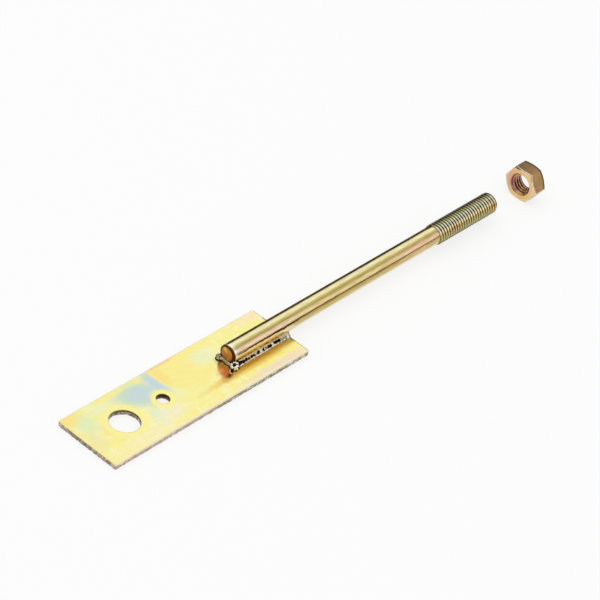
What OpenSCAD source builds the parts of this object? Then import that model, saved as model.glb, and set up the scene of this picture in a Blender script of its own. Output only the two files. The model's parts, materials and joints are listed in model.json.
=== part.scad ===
// Strap bolt: a flat steel strap with a threaded rod welded along it, and its hexagon nut.
// The strap is fastened to a timber beam through its two holes, and the rod runs through a post.
// Millimetres. The origin is the bolt hole's centre on the strap's underside, +X points along
// the rod to its tip, and +Z points out of the strap's top face.

/* [Strap] */
// Length of the strap
strap_l = 140; // [125:1:170]
// Width of the strap
strap_w = 40; // [30:1:60]
// Thickness of the strap
strap_t = 3.2; // [2.3:0.1:6]
// Radius of the strap's four corners
strap_corner_r = 0.8; // [0.4:0.1:4]

/* [Holes] */
// Diameter of the bolt hole
bolt_hole_d = 16; // [11:0.5:20]
// Distance from the strap's end to the bolt hole's centre
bolt_hole_margin = 26; // [16:0.5:32]
// Diameter of the nail hole
nail_hole_d = 7; // [4:0.5:9]
// Distance from the bolt hole's centre to the nail hole's centre
hole_pitch = 27; // [20:0.5:32]

/* [Rod] */
// Length over all, from the strap's end to the rod's tip
overall_l = 310; // [270:5:450]
// Diameter of the plain shank
shank_d = 10.7; // [9:0.1:11.8]
// Length of rod that lies on the strap
weld_overlap = 41.5; // [30:0.5:55]
// Depth that the rod sank into the strap when it was welded
weld_sink = 0.5; // [0.2:0.1:1]
// Chamfer around the rod's cut end
cut_end_chamfer = 0.7; // [0.2:0.1:1.5]

/* [Thread] */
// Outer diameter of the rolled thread
thread_d = 12; // [12:0.1:14]
// Length of the thread, with its chamfer
thread_l = 50; // [25:1:90]
// Distance from ridge to ridge of the thread
thread_pitch = 2; // [1.25:0.05:2.5]
// Depth of the thread's grooves
thread_depth = 1.2; // [0.6:0.05:1.3]
// Length of the cone that leads from the shank up to the first ridge
run_out_l = 0.35; // [0.2:0.05:3]
// Chamfer at the rod's tip
tip_chamfer = 1.4; // [0.4:0.1:2.5]

/* [Weld] */
// Distance from the rod's centre line to the edge of the weld bead
bead_reach = 6.2; // [6.1:0.1:8]
// Angle up the rod's side that the bead climbs to
bead_climb = 58; // [40:1:70]
// Height of the lip along the bead's edge
bead_lip = 0.5; // [0.2:0.1:1]
// Length of the bead in front of the rod's cut end
heel_l = 1.6; // [0.8:0.1:3]
// Height of the bead in front of the rod's cut end
heel_h = 1.9; // [0.8:0.1:3]
// Radius of the lump at the cut end's right-hand corner
right_lump_r = 2.7; // [1.5:0.1:3.2]
// Radius of the lump at the cut end's left-hand corner
left_lump_r = 2.1; // [1.5:0.1:3.2]
// Length of the tongue that the bead leaves beyond the strap's edge
tongue_l = 2.4; // [1:0.1:5]
// Depth of that tongue below the strap's top face
tongue_drop = 1.2; // [0.4:0.1:2]

/* [Nut] */
// Width of the nut across its flats
nut_af = 19; // [17:0.5:22]
// Height of the nut
nut_h = 10; // [6:0.5:14]
// Radial running clearance between the nut and the thread
nut_clearance = 0.05; // [0.02:0.01:0.1]
// Angle of the chamfers on the nut's corners
nut_chamfer_angle = 30; // [15:1:35]
// Diameter of the nut's flat end faces, as a share of its width across the flats
nut_face_share = 0.95; // [0.9:0.01:0.99]
// Depth of the countersink at each end of the nut's bore
nut_countersink = 0.7; // [0.3:0.1:1]
// Distance from the rod's tip to the nut, which is taken off
nut_gap = 26; // [10:1:60]

/* [Hidden] */
$fn = 96;
eps = 0.01;                                 // how far a cutting tool runs past a face
strap_near_x = -bolt_hole_margin;           // the strap's free end
strap_far_x = strap_near_x + strap_l;       // the strap's end under the rod
shank_r = shank_d / 2;
thread_r = thread_d / 2;
rod_z = strap_t + shank_r - weld_sink;      // height of the rod's axis
rod_start_x = strap_far_x - weld_overlap;   // the rod's cut end
rod_tip_x = strap_near_x + overall_l;
rod_l = rod_tip_x - rod_start_x;
plain_l = rod_l - thread_l;
full_thread_l = thread_l - run_out_l - tip_chamfer;
crest_w = thread_pitch / 8;                 // a ridge's flat top
root_w = thread_pitch / 4;                  // a groove's flat bottom
groove_count = floor((full_thread_l - crest_w) / thread_pitch + eps);
lump_y = bead_reach - left_lump_r / 4;      // the lumps stand astride the bead's edge
lump_z = strap_t + bead_lip;
nut_x = rod_tip_x + nut_gap;                // the nut's near face
nut_corner_r = nut_af / 2 / cos(30);
nut_face_r = nut_face_share * nut_af / 2;
nut_bore_r = thread_r + nut_clearance;
zinc_yellow = [0.85, 0.74, 0.40];
zinc_olive = [0.62, 0.56, 0.34];
zinc_bronze = [0.66, 0.50, 0.32];
weld_grey = [0.52, 0.46, 0.36];

// The strap's outline: a rectangle with four rounded corners
module strap_outline() {
    inset = strap_corner_r;
    translate([strap_near_x, inset - strap_w / 2]) square([strap_l, strap_w - 2 * inset]);
    translate([strap_near_x + inset, -strap_w / 2]) square([strap_l - 2 * inset, strap_w]);
    for (x = [strap_near_x + inset, strap_far_x - inset], side = [-1, 1])
        translate([x, side * (strap_w / 2 - inset)]) circle(inset);
}

// A round hole through the strap
module strap_hole(x, d) {
    translate([x, 0, -eps]) cylinder(d = d, h = strap_t + 2 * eps);
}

// The thread's grooves, counted back from the tip: radius against distance from the rod's cut end
function groove_points(count) = [
    for (i = [count:-1:1])
        let (ridge_end = rod_l - tip_chamfer - i * thread_pitch,
             next_ridge = ridge_end + thread_pitch - crest_w,
             root = (ridge_end + next_ridge) / 2,
             root_r = thread_r - thread_depth)
        each [
            [thread_r, ridge_end],
            [root_r, root - root_w / 2],
            [root_r, root + root_w / 2],
            [thread_r, next_ridge]
        ]
];

// The rod, whose thread is a row of rings. Without grooves it is what the strap and the weld fit
module rod_solid(grooves = 0) {
    translate([rod_start_x, 0, rod_z]) rotate([0, 90, 0]) rotate_extrude() polygon([
        [0, 0],
        [shank_r - cut_end_chamfer, 0],
        [shank_r, cut_end_chamfer],
        [shank_r, plain_l],
        [thread_r, plain_l + run_out_l],
        each groove_points(grooves),
        [thread_r, rod_l - tip_chamfer],
        [thread_r - tip_chamfer, rod_l],
        [0, rod_l]
    ]);
}

// Section of the bead across the rod, down to a given height below the strap's top face
module bead_section(drop) {
    climb_y = shank_r * sin(bead_climb);
    climb_z = rod_z - shank_r * cos(bead_climb);
    polygon([
        [bead_reach, strap_t - drop],
        [bead_reach, strap_t + bead_lip],
        [climb_y, climb_z],
        [0, rod_z],
        [-climb_y, climb_z],
        [-bead_reach, strap_t + bead_lip],
        [-bead_reach, strap_t - drop]
    ]);
}

// A stretch of bead along the rod, from one x to another
module bead_run(from_x, to_x, drop) {
    translate([from_x, 0, 0]) rotate([90, 0, 90]) linear_extrude(to_x - from_x) bead_section(drop);
}

// The tongue of flash that runs on past the strap's edge and narrows under the rod
module bead_tongue() {
    intersection() {
        bead_run(strap_far_x, strap_far_x + tongue_l, tongue_drop);
        linear_extrude(rod_z) polygon([
            [strap_far_x, -bead_reach],
            [strap_far_x + tongue_l, -shank_r / 2],
            [strap_far_x + tongue_l, shank_r / 2],
            [strap_far_x, bead_reach]
        ]);
    }
}

// The bead in front of the rod's cut end, which slopes down to the strap
module bead_heel() {
    translate([0, lump_y, 0]) rotate([90, 0, 0]) linear_extrude(2 * lump_y) polygon([
        [rod_start_x - heel_l, strap_t],
        [rod_start_x + cut_end_chamfer + eps, strap_t],
        [rod_start_x + cut_end_chamfer + eps, strap_t + heel_h],
        [rod_start_x, strap_t + heel_h]
    ]);
}

// A lump of weld metal at one corner of the cut end, above the strap's top face
module bead_lump(side, r) {
    translate([rod_start_x, side * lump_y, lump_z]) intersection() {
        sphere(r);
        translate([-r, -r, strap_t - lump_z]) cube([2 * r, 2 * r, 2 * r]);
    }
}

module strap_plate() {
    color(zinc_yellow) difference() {
        linear_extrude(strap_t) strap_outline();
        strap_hole(0, bolt_hole_d);
        strap_hole(hole_pitch, nail_hole_d);
        rod_solid();
    }
}

module bolt_rod() {
    color(zinc_olive) rod_solid(groove_count);
}

module weld_bead() {
    color(weld_grey) difference() {
        union() {
            bead_run(rod_start_x, strap_far_x, 0);
            bead_tongue();
            bead_heel();
            bead_lump(-1, right_lump_r);
            bead_lump(1, left_lump_r);
        }
        rod_solid();
    }
}

// The nut's outer form, a cylinder of its corners' radius with a chamfer at each end
module nut_chamfers() {
    chamfer_h = (nut_corner_r - nut_face_r) * tan(nut_chamfer_angle);
    rotate_extrude() polygon([
        [0, 0],
        [nut_face_r, 0],
        [nut_corner_r, chamfer_h],
        [nut_corner_r, nut_h - chamfer_h],
        [nut_face_r, nut_h],
        [0, nut_h]
    ]);
}

// The nut's bore, opened out at both ends
module nut_bore() {
    rotate_extrude() polygon([
        [0, -eps],
        [nut_bore_r + nut_countersink + eps, -eps],
        [nut_bore_r, nut_countersink],
        [nut_bore_r, nut_h - nut_countersink],
        [nut_bore_r + nut_countersink + eps, nut_h + eps],
        [0, nut_h + eps]
    ]);
}

module hex_nut() {
    color(zinc_bronze) translate([nut_x, 0, rod_z]) rotate([0, 90, 0]) difference() {
        intersection() {
            rotate([0, 0, 30]) cylinder(r = nut_corner_r, h = nut_h, $fn = 6);
            nut_chamfers();
        }
        nut_bore();
    }
}

strap_plate();
bolt_rod();
weld_bead();
hex_nut();
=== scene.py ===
"""Looks of a strap bolt: a sheared steel strap, a threaded rod welded along it, and its hexagon nut.

Everything is in metres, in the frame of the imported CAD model. The origin is the bolt hole's centre
on the strap's underside, +X runs along the rod to its tip, and +Z points out of the strap's top face.
The near side is -Y, where the camera stands, and the far side is +Y.
"""

import json
import logging
import math
import random
from dataclasses import dataclass
from enum import Enum
from typing import Any, Callable, Iterable, Sequence

import bmesh
import bpy
from bmesh.types import BMesh, BMVert
from bpy.types import Material, Mesh, Node, NodeSocket, NodeTree, Object
from mathutils import Matrix, Vector, noise
from mathutils.kdtree import KDTree


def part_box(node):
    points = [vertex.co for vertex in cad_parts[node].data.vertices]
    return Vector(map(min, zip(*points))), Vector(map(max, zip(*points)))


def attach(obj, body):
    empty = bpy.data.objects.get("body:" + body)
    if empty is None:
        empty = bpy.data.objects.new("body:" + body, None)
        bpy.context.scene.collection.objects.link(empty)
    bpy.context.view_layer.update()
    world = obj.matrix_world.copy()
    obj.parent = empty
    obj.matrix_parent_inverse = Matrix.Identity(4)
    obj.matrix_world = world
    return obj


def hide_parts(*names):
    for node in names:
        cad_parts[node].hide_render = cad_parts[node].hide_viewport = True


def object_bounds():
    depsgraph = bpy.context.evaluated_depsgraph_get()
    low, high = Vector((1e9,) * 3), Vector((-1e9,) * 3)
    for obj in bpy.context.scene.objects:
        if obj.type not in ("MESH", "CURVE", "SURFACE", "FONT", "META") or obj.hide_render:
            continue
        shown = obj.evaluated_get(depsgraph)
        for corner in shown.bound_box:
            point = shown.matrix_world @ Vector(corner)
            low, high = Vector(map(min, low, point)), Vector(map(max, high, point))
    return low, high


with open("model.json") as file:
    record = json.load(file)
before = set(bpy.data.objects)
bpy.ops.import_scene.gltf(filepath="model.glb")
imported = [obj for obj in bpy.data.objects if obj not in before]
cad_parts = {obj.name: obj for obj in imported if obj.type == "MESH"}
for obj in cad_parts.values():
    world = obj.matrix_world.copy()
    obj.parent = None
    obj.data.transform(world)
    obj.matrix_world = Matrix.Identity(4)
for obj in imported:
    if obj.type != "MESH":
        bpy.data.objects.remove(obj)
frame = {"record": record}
CAD_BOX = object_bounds()

MM = 0.001
TAU = math.tau
TURN_DEGREES = 360
RELIEF = "relief"               # a value for each vertex: 0 in a crevice, darkened as painted shade; 1 on a crest, paled as rubbed wear and painted highlight
CREVICE, PLAIN, CREST = 0.0, 0.5, 1.0
MERGE_DISTANCE = 0.0005 * MM
SLIVER_DISTANCE = MERGE_DISTANCE / 10
BALL_SUBDIVISIONS = 3
UNDER, OVER, MIXED = 6, 7, 2    # a colour mix's two inputs and its output, by number
SEED = 7
ROD_LOW, ROD_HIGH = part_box("bolt_rod")
AXIS_Z = (ROD_LOW.z + ROD_HIGH.z) / 2       # height of the rod's axis, which the nut shares

# Stretches of a noise texture's value, which lies round 0.5, that a finish spreads over its own range
CLOUDY = (0.35, 0.65)
MARKED = (0.40, 0.70)
PATCHY = (0.30, 0.60)
MOTTLED = (0.3, 0.7)

log = logging.getLogger("strap_bolt")


class Body(Enum):
    """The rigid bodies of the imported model."""

    STRAP_BOLT = "strap_bolt"
    NUT = "nut"


class Slot(Enum):
    """The record's material slots."""

    STRAP = "strap"
    ROD = "rod"
    WELD = "weld"
    NUT = "nut"


class Side(Enum):
    """The two sides of the rod, as the sign of their y."""

    NEAR = -1
    FAR = 1


class Tone(Enum):
    """How a droplet of weld metal looks, as its value of relief."""

    # Scorched weld metal, and painted shade at the lumps' feet.
    SCORCHED_AND_SHADED = 0.0
    OLIVE = 0.48
    GREY = 0.62
    BRIGHT = 0.97


def clamp(value: float) -> float:
    """Keeps a value between 0 and 1."""
    return min(1.0, max(0.0, value))


def smooth(share: float) -> float:
    """Rounds off both ends of a rise from 0 to 1."""
    return share * share * (3 - 2 * share)


def bell(distance: float) -> float:
    """1 at a distance of 0, and next to nothing from 2 on."""
    return math.exp(-distance ** 2)


def linear(colour: str) -> tuple[float, float, float, float]:
    """Turns an sRGB colour into the linear one that a shader takes, by the standard's own curve.

    Args:
        colour: Six hexadecimal digits after a hash sign.

    Returns:
        Linear red, green and blue, and full alpha.
    """
    channels = [int(colour[i:i + 2], 16) / 255 for i in (1, 3, 5)]
    red, green, blue = (c / 12.92 if c <= 0.04045 else ((c + 0.055) / 1.055) ** 2.4 for c in channels)
    return red, green, blue, 1.0


def add_node(tree: NodeTree, kind: str, settings: dict[Any, Any] | None = None,
             links: dict[Any, NodeSocket] | None = None, stops: Sequence[tuple[float, str]] = (),
             **options: Any) -> Node:
    """Adds a node with its settings and links.

    Args:
        tree: The node tree that it goes into.
        kind: The node's type name.
        settings: Fixed values by input name or number.
        links: Output sockets by the input that they feed.
        stops: Places and sRGB colours, for a node that holds a colour ramp.
        **options: The node's own properties, such as operation.

    Returns:
        The new node.
    """
    node = tree.nodes.new(kind)
    for name, value in options.items():
        setattr(node, name, value)
    for socket, value in (settings or {}).items():
        node.inputs[socket].default_value = value
    for socket, source in (links or {}).items():
        tree.links.new(source, node.inputs[socket])
    for index, (place, colour) in enumerate(stops):
        elements = node.color_ramp.elements
        stop = elements[index] if index < len(elements) else elements.new(place)
        stop.position = place
        stop.color = linear(colour)
    return node


def new_tree(name: str) -> tuple[Material, NodeTree]:
    """Makes an empty node material.

    Args:
        name: The material's name.

    Returns:
        The material and its node tree.
    """
    material = bpy.data.materials.new(name)
    material.use_nodes = True
    material.node_tree.nodes.clear()
    return material, material.node_tree


@dataclass(frozen=True)
class Stain:
    """A soft-edged patch of colour in the part's XY plane: where the chromate film is thinner or thicker, and
    on some parts a painted reflection, highlight or shade.
    """

    colour: str
    centre: tuple[float, float]         # millimetres
    reach: tuple[float, float]          # half its length and half its width, millimetres
    turn: float = 0.0                   # degrees
    softness: float = 0.35              # width of its fading edge, as a share of its reach
    strength: float = 1.0

    def lay(self, tree: NodeTree, point: NodeSocket,
            under: NodeSocket) -> NodeSocket:
        """Mixes the patch over a colour.

        Args:
            tree: The material's node tree.
            point: The place on the surface, in metres.
            under: The colour beneath.

        Returns:
            The mixed colour.
        """
        local = add_node(tree, "ShaderNodeMapping", vector_type="TEXTURE", links={"Vector": point}, settings={
            "Location": (self.centre[0] * MM, self.centre[1] * MM, 0),
            "Rotation": (0, 0, math.radians(self.turn)),
            "Scale": (self.reach[0] * MM, self.reach[1] * MM, 1)})
        radius = add_node(tree, "ShaderNodeVectorMath", operation="LENGTH", links={0: local.outputs[0]})
        mask = add_node(tree, "ShaderNodeMapRange", interpolation_type="SMOOTHSTEP",
                        links={"Value": radius.outputs["Value"]}, settings={
                            "From Min": 1 + self.softness, "From Max": 1 - self.softness,
                            "To Min": 0, "To Max": self.strength})
        mixed = add_node(tree, "ShaderNodeMix", data_type="RGBA", settings={OVER: linear(self.colour)},
                         links={0: mask.outputs[0], UNDER: under})
        return mixed.outputs[MIXED]


@dataclass(frozen=True)
class PlatedSteel:
    """Steel under bright zinc with a yellow chromate: a mirror-like metal whose thin film runs from straw
    yellow through pink to blue-green, with painted shade in its crevices and paler where an edge is rubbed or
    carries a painted highlight. On some parts its bands, edge tints and stains paint reflections, light and
    shade."""

    name: str
    clouds: tuple[str, ...]             # film colours that drift into one another
    cloud_mm: float                     # size of a drift of colour
    grain: str                          # colour of the drawing or rolling marks
    # A mark's size. Real marks are under 0.1 mm wide, too fine to show in the render, so they are
    # drawn as coarse as they need to show.
    grain_mm: tuple[float, float, float]
    grain_share: float                  # how strongly the marks show in the colour
    grain_depth_mm: float
    crevice: str
    crest: str
    roughness: tuple[float, float]
    stains: tuple[Stain, ...] = ()
    bands: tuple[tuple[float, str], ...] = ()   # colours by degrees round the axis, from the top: film colours, and on the bar, thread and nut painted reflections, light and shade
    band_share: float = 0.75            # how far the bands hide the drifting colours
    wander_mm: float = 2.0              # how far a stain's or a band's edge wanders
    wander_size_mm: float = 8.0
    cloud_spread: float = 0.36          # the less, the harder one drifting colour meets the next
    edges: tuple[tuple[float, str], ...] = ()   # tint at a grazing view, by the same degrees as the bands; a dark tint paints shade into the reflection
    rough_patch_share: float = 0.4      # size of a rougher patch, as a share of a drift's
    rubbed_patch_mm: float = 1.6
    least_rubbed: float = 0.25          # share of the crest's colour between the rubbed patches

    def material(self) -> Material:
        """Builds the node material.

        Returns:
            The finished material.
        """
        material, tree = new_tree(self.name)
        place = add_node(tree, "ShaderNodeTexCoord").outputs["Object"]
        colour = self.film_and_painted_light(tree, place)
        marks = self.marks(tree, place)
        colour = add_node(tree, "ShaderNodeMix", data_type="RGBA", blend_type="MULTIPLY", settings={
            OVER: linear(self.grain)}, links={0: marks, UNDER: colour}).outputs[MIXED]
        colour = self.shade_and_wear(tree, place, colour)
        cloudy = add_node(tree, "ShaderNodeTexNoise", settings={
            "Scale": 1 / (self.cloud_mm * self.rough_patch_share * MM), "Detail": 4}, links={"Vector": place})
        rough = add_node(tree, "ShaderNodeMapRange", links={"Value": cloudy.outputs[0]}, settings={
            "From Min": CLOUDY[0], "From Max": CLOUDY[1],
            "To Min": self.roughness[0], "To Max": self.roughness[1]})
        bump = add_node(tree, "ShaderNodeBump", settings={
            "Strength": 1.0, "Distance": self.grain_depth_mm * MM}, links={"Height": marks})
        links = {"Base Color": colour, "Roughness": rough.outputs[0], "Normal": bump.outputs[0]}
        if self.edges:
            links["Specular Tint"] = self.round_axis(tree, place, self.edges)
        shader = add_node(tree, "ShaderNodeBsdfPrincipled", settings={"Metallic": 1.0}, links=links)
        add_node(tree, "ShaderNodeOutputMaterial", links={"Surface": shader.outputs[0]})
        return material

    def film_and_painted_light(self, tree: NodeTree, place: NodeSocket) -> NodeSocket:
        """Drifting film colours with the bands and stains over them, which on some parts paint reflections,
        light and shade.

        Args:
            tree: The material's node tree.
            place: The place on the surface, in metres.

        Returns:
            The colour of the film and of the painted light.
        """
        cloud = add_node(tree, "ShaderNodeTexNoise", settings={
            "Scale": 1 / (self.cloud_mm * MM), "Detail": 3, "Roughness": 0.5}, links={"Vector": place})
        steps = len(self.clouds) - 1
        colour = add_node(tree, "ShaderNodeValToRGB", links={"Fac": cloud.outputs[0]}, stops=[
            (0.5 + self.cloud_spread * (index / steps - 0.5), tint)
            for index, tint in enumerate(self.clouds)]).outputs[0]
        if not self.stains and not self.bands:
            return colour
        drift = add_node(tree, "ShaderNodeTexNoise", settings={
            "Scale": 1 / (self.wander_size_mm * MM), "Detail": 3}, links={"Vector": place})
        centred = add_node(tree, "ShaderNodeVectorMath", operation="SUBTRACT", settings={1: (0.5, 0.5, 0.5)},
                           links={0: drift.outputs["Color"]})
        shift = add_node(tree, "ShaderNodeVectorMath", operation="SCALE", links={0: centred.outputs[0]},
                         settings={"Scale": 2 * self.wander_mm * MM})
        point = add_node(tree, "ShaderNodeVectorMath", links={0: place, 1: shift.outputs[0]})
        if self.bands:
            banded = self.round_axis(tree, point.outputs[0], self.bands)
            colour = add_node(tree, "ShaderNodeMix", data_type="RGBA", settings={0: self.band_share},
                              links={UNDER: colour, OVER: banded}).outputs[MIXED]
        for stain in self.stains:
            colour = stain.lay(tree, point.outputs[0], colour)
        return colour

    def round_axis(self, tree: NodeTree, point: NodeSocket,
                   stops: Sequence[tuple[float, str]]) -> NodeSocket:
        """Gives a colour by the angle round the rod's axis.

        Args:
            tree: The material's node tree.
            point: The place on the surface, in metres.
            stops: Colours by degrees from the top, towards the near side.

        Returns:
            The colour.
        """
        parts = add_node(tree, "ShaderNodeSeparateXYZ", links={0: point})
        height = add_node(tree, "ShaderNodeMath", operation="SUBTRACT", settings={1: AXIS_Z},
                          links={0: parts.outputs["Z"]})
        nearness = add_node(tree, "ShaderNodeMath", operation="MULTIPLY", settings={1: Side.NEAR.value},
                            links={0: parts.outputs["Y"]})
        angle = add_node(tree, "ShaderNodeMath", operation="ARCTAN2", links={
            0: nearness.outputs[0], 1: height.outputs[0]})
        turn = add_node(tree, "ShaderNodeMapRange", links={"Value": angle.outputs[0]}, settings={
            "From Min": -math.pi, "From Max": math.pi})
        return add_node(tree, "ShaderNodeValToRGB", links={"Fac": turn.outputs[0]}, stops=[
            (0.5 + degrees / TURN_DEGREES, tint) for degrees, tint in stops]).outputs[0]

    def marks(self, tree: NodeTree, place: NodeSocket) -> NodeSocket:
        """Fine marks along the direction in which the steel was rolled, drawn or cut.

        Args:
            tree: The material's node tree.
            place: The place on the surface, in metres.

        Returns:
            The marks' strength, from 0 to the grain's share.
        """
        stretched = add_node(tree, "ShaderNodeMapping", vector_type="TEXTURE", links={"Vector": place},
                             settings={"Scale": [size * MM for size in self.grain_mm]})
        fine = add_node(tree, "ShaderNodeTexNoise", settings={"Scale": 1, "Detail": 4, "Roughness": 0.6},
                        links={"Vector": stretched.outputs[0]})
        return add_node(tree, "ShaderNodeMapRange", links={"Value": fine.outputs[0]}, settings={
            "From Min": MARKED[0], "From Max": MARKED[1], "To Min": 0, "To Max": self.grain_share}).outputs[0]

    def shade_and_wear(self, tree: NodeTree, place: NodeSocket,
             colour: NodeSocket) -> NodeSocket:
        """Darkens the crevices with painted shade and pales the crests, as rubbed wear and painted highlight,
        by the mesh's own relief.

        Args:
            tree: The material's node tree.
            place: The place on the surface, in metres.
            colour: The colour beneath.

        Returns:
            The worn colour.
        """
        relief = add_node(tree, "ShaderNodeAttribute", attribute_name=RELIEF).outputs["Fac"]
        patchy = add_node(tree, "ShaderNodeTexNoise", links={"Vector": place}, settings={
            "Scale": 1 / (self.rubbed_patch_mm * MM), "Detail": 3})
        crest_paling = add_node(tree, "ShaderNodeMapRange", links={"Value": patchy.outputs[0]}, settings={
            "From Min": PATCHY[0], "From Max": PATCHY[1], "To Min": self.least_rubbed, "To Max": 1.0})
        crest = add_node(tree, "ShaderNodeMapRange", links={"Value": relief}, settings={
            "From Min": PLAIN, "From Max": CREST})
        crest_share = add_node(tree, "ShaderNodeMath", operation="MULTIPLY", links={
            0: crest.outputs[0], 1: crest_paling.outputs[0]})
        crevice = add_node(tree, "ShaderNodeMapRange", links={"Value": relief}, settings={
            "From Min": PLAIN, "From Max": CREVICE})
        darkened = add_node(tree, "ShaderNodeMix", data_type="RGBA", settings={OVER: linear(self.crevice)},
                            links={0: crevice.outputs[0], UNDER: colour})
        return add_node(tree, "ShaderNodeMix", data_type="RGBA", settings={OVER: linear(self.crest)}, links={
            0: crest_share.outputs[0], UNDER: darkened.outputs[MIXED]}).outputs[MIXED]


# Yellow chromate zinc on cold-rolled flat bar. It gives the eye a lemon mirror with a film that turns
# blue-green in one patch, orange at the corners, and yellow again round the holes. Along the rod's near side
# some stains paint the reflections and shade of the rod, its cut end and the near weld lump.
SHEET_CHROMATE = PlatedSteel(
    name="yellow_chromate_zinc_on_rolled_flat_bar",
    clouds=("#FCF9BE", "#FAF4A0", "#FCF09A", "#FAF7BA", "#FBF3A6"), cloud_mm=7, cloud_spread=0.5,
    grain="#EFE6B4", grain_mm=(9.0, 0.35, 0.35), grain_share=0.25, grain_depth_mm=0.004,
    crevice="#4E4020", crest="#FDF3EA", roughness=(0.14, 0.22),
    stains=(
        Stain("#DCF0C4", (-17, 10), (6, 7), softness=0.7, strength=0.8),
        Stain("#FCE488", (-22, 17), (6, 4.0), softness=0.7, strength=0.8),
        Stain("#EEE6B4", (-21, -3), (4, 7), softness=0.7, strength=0.6),
        Stain("#FCDE9C", (-11, 1), (3.5, 4), softness=0.7, strength=0.6),
        Stain("#E8F4CE", (-2, 13), (9, 4), turn=-20, softness=0.7, strength=0.6),
        Stain("#E4F0D2", (17, -7), (4, 7), turn=-15, softness=0.7, strength=0.8),
        Stain("#F6F0D4", (25, -9), (6, 4.5), softness=0.7, strength=0.8),
        Stain("#F9F2C6", (4, -14), (26, 4.5), turn=6, softness=0.8, strength=0.6),
        Stain("#EFF0D2", (36, -1), (6, 5), softness=0.7, strength=0.6),
        Stain("#C4E0D0", (20, 9), (14, 8.5), turn=-24, softness=0.45, strength=0.9),
        Stain("#CAD8E2", (20, 9), (7, 5), turn=-24, softness=0.6, strength=0.8),
        Stain("#C8E0DC", (31.5, 10), (3.6, 12), softness=0.45, strength=0.85),
        Stain("#C4D6E4", (32, 11), (2.2, 6), softness=0.6, strength=0.7),
        Stain("#FAF09C", (5, 19), (12, 2.4), turn=-6, softness=0.4, strength=0.8),
        Stain("#FBF09A", (52, 12), (17.4, 17), softness=0.07),
        Stain("#FAF2A2", (42, -5), (9, 4.5), softness=0.9, strength=0.8),
        Stain("#FFDC88", (38, 13), (3.2, 7), softness=0.7, strength=0.6),
        Stain("#FCF3A0", (0, 0), (11.6, 11.6), softness=0.15),
        Stain("#FFF59A", (27, 0), (6.5, 6.5), softness=0.25),
        Stain("#F8CC9A", (44, 19.7), (10, 1.6), softness=0.6, strength=0.7),
        Stain("#EDF4D0", (66, 10), (7, 5), softness=0.6, strength=0.7),
        Stain("#FFE8C4", (108, 18.5), (9, 4), softness=0.7, strength=0.8),
        Stain("#F6DCCB", (94, -17.2), (24, 2.2), softness=0.6, strength=0.8),
        Stain("#FCF07C", (92, -12.8), (20, 1.6), softness=0.6, strength=0.55),
        # Painted reflection of the rod's lower near side in the strap: a gold band, reaching the near lump's
        # shade, and an orange-brown one.
        Stain("#ECBE4C", (83, -9.7), (30, 2.2), softness=0.6, strength=0.85),
        Stain("#C08420", (92, -7.7), (26, 1.0), softness=0.5, strength=0.75),
        Stain("#B4BC88", (69.3, 0), (1.8, 5.5), softness=0.5, strength=0.5),
        # Painted reflection of the rod's cut end in the strap.
        Stain("#FFA484", (66, -5.5), (3.4, 4.4), softness=0.5, strength=0.6),
        # Painted shade and reflection of the near weld lump on the strap.
        Stain("#E4B04C", (62.5, -9), (2.6, 2.2), softness=0.6, strength=0.6),
        # Painted highlight: a pale band along the near edge's rim.
        Stain("#F4E8DC", (44, -19.5), (70, 0.5), softness=0.5, strength=0.6),
        Stain("#4A3420", (113.8, 0), (0.7, 15.5), softness=0.4, strength=0.85),
    ), wander_mm=1.4, wander_size_mm=4.5)

# The same plating on cold-drawn round bar. It gives the eye long soft streaks: straw on top, then olive,
# pinkish gold on the near side, dull gold below, and olive brown on the far flank. Most of these bands round
# the axis are painted reflections that stay fixed on the bar: the pale highlight on top, the dark olive-brown
# line on the far flank and a dark brown line on the near side; a dark grazing tint paints shade on the far
# flank, and the stains paint reflection lines along the near side.
BAR_CHROMATE = PlatedSteel(
    name="yellow_chromate_zinc_on_drawn_bar",
    clouds=("#F0E8B0", "#F4E3A0", "#F0D898", "#EEE9B0"), cloud_mm=24,
    grain="#B09050", grain_mm=(7.0, 0.7, 0.7), grain_share=0.45, grain_depth_mm=0.006,
    crevice="#33250F", crest="#FFFBF4", roughness=(0.17, 0.24),
    # Painted reflections and shade round the axis, over the film's own streaks.
    bands=((-180, "#C2AE6E"), (-70, "#A0925A"), (-50, "#7A7252"), (-24, "#7A7252"), (-11, "#F2EFC8"),
           (4, "#FFFBC8"), (15, "#EAD986"), (27, "#D8C26A"), (40, "#F2DCA0"), (53, "#F0D296"),
           (61, "#8A6424"), (64, "#8A6424"), (70, "#AE9046"), (80, "#C2AE66"), (90, "#BCA868"),
           (98, "#E6DCB4"), (120, "#FFFBEA"), (180, "#C2AE6E")),
    # Painted shade: a dark tint dims the grazing reflection on the far flank.
    edges=((-180, "#FFFFFF"), (-84, "#FFFFFF"), (-70, "#766F60"), (-22, "#766F60"), (-12, "#FFFFFF"),
           (180, "#FFFFFF")),
    stains=(
        # Painted reflection lines along the near side: pale bands with a thin dark line between them.
        Stain("#FFDCC2", (93, -4.0), (26, 1.0), softness=0.5, strength=0.7),
        Stain("#3A1806", (101, -4.87), (27, 0.2), turn=0.2, softness=0.3),
        Stain("#FFECB4", (93, -5.42), (24, 0.36), softness=0.4, strength=0.95),
        Stain("#F6D2B0", (218, -3.8), (22, 1.3), softness=0.6, strength=0.7),
    ), wander_mm=0.28, wander_size_mm=4)

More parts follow.
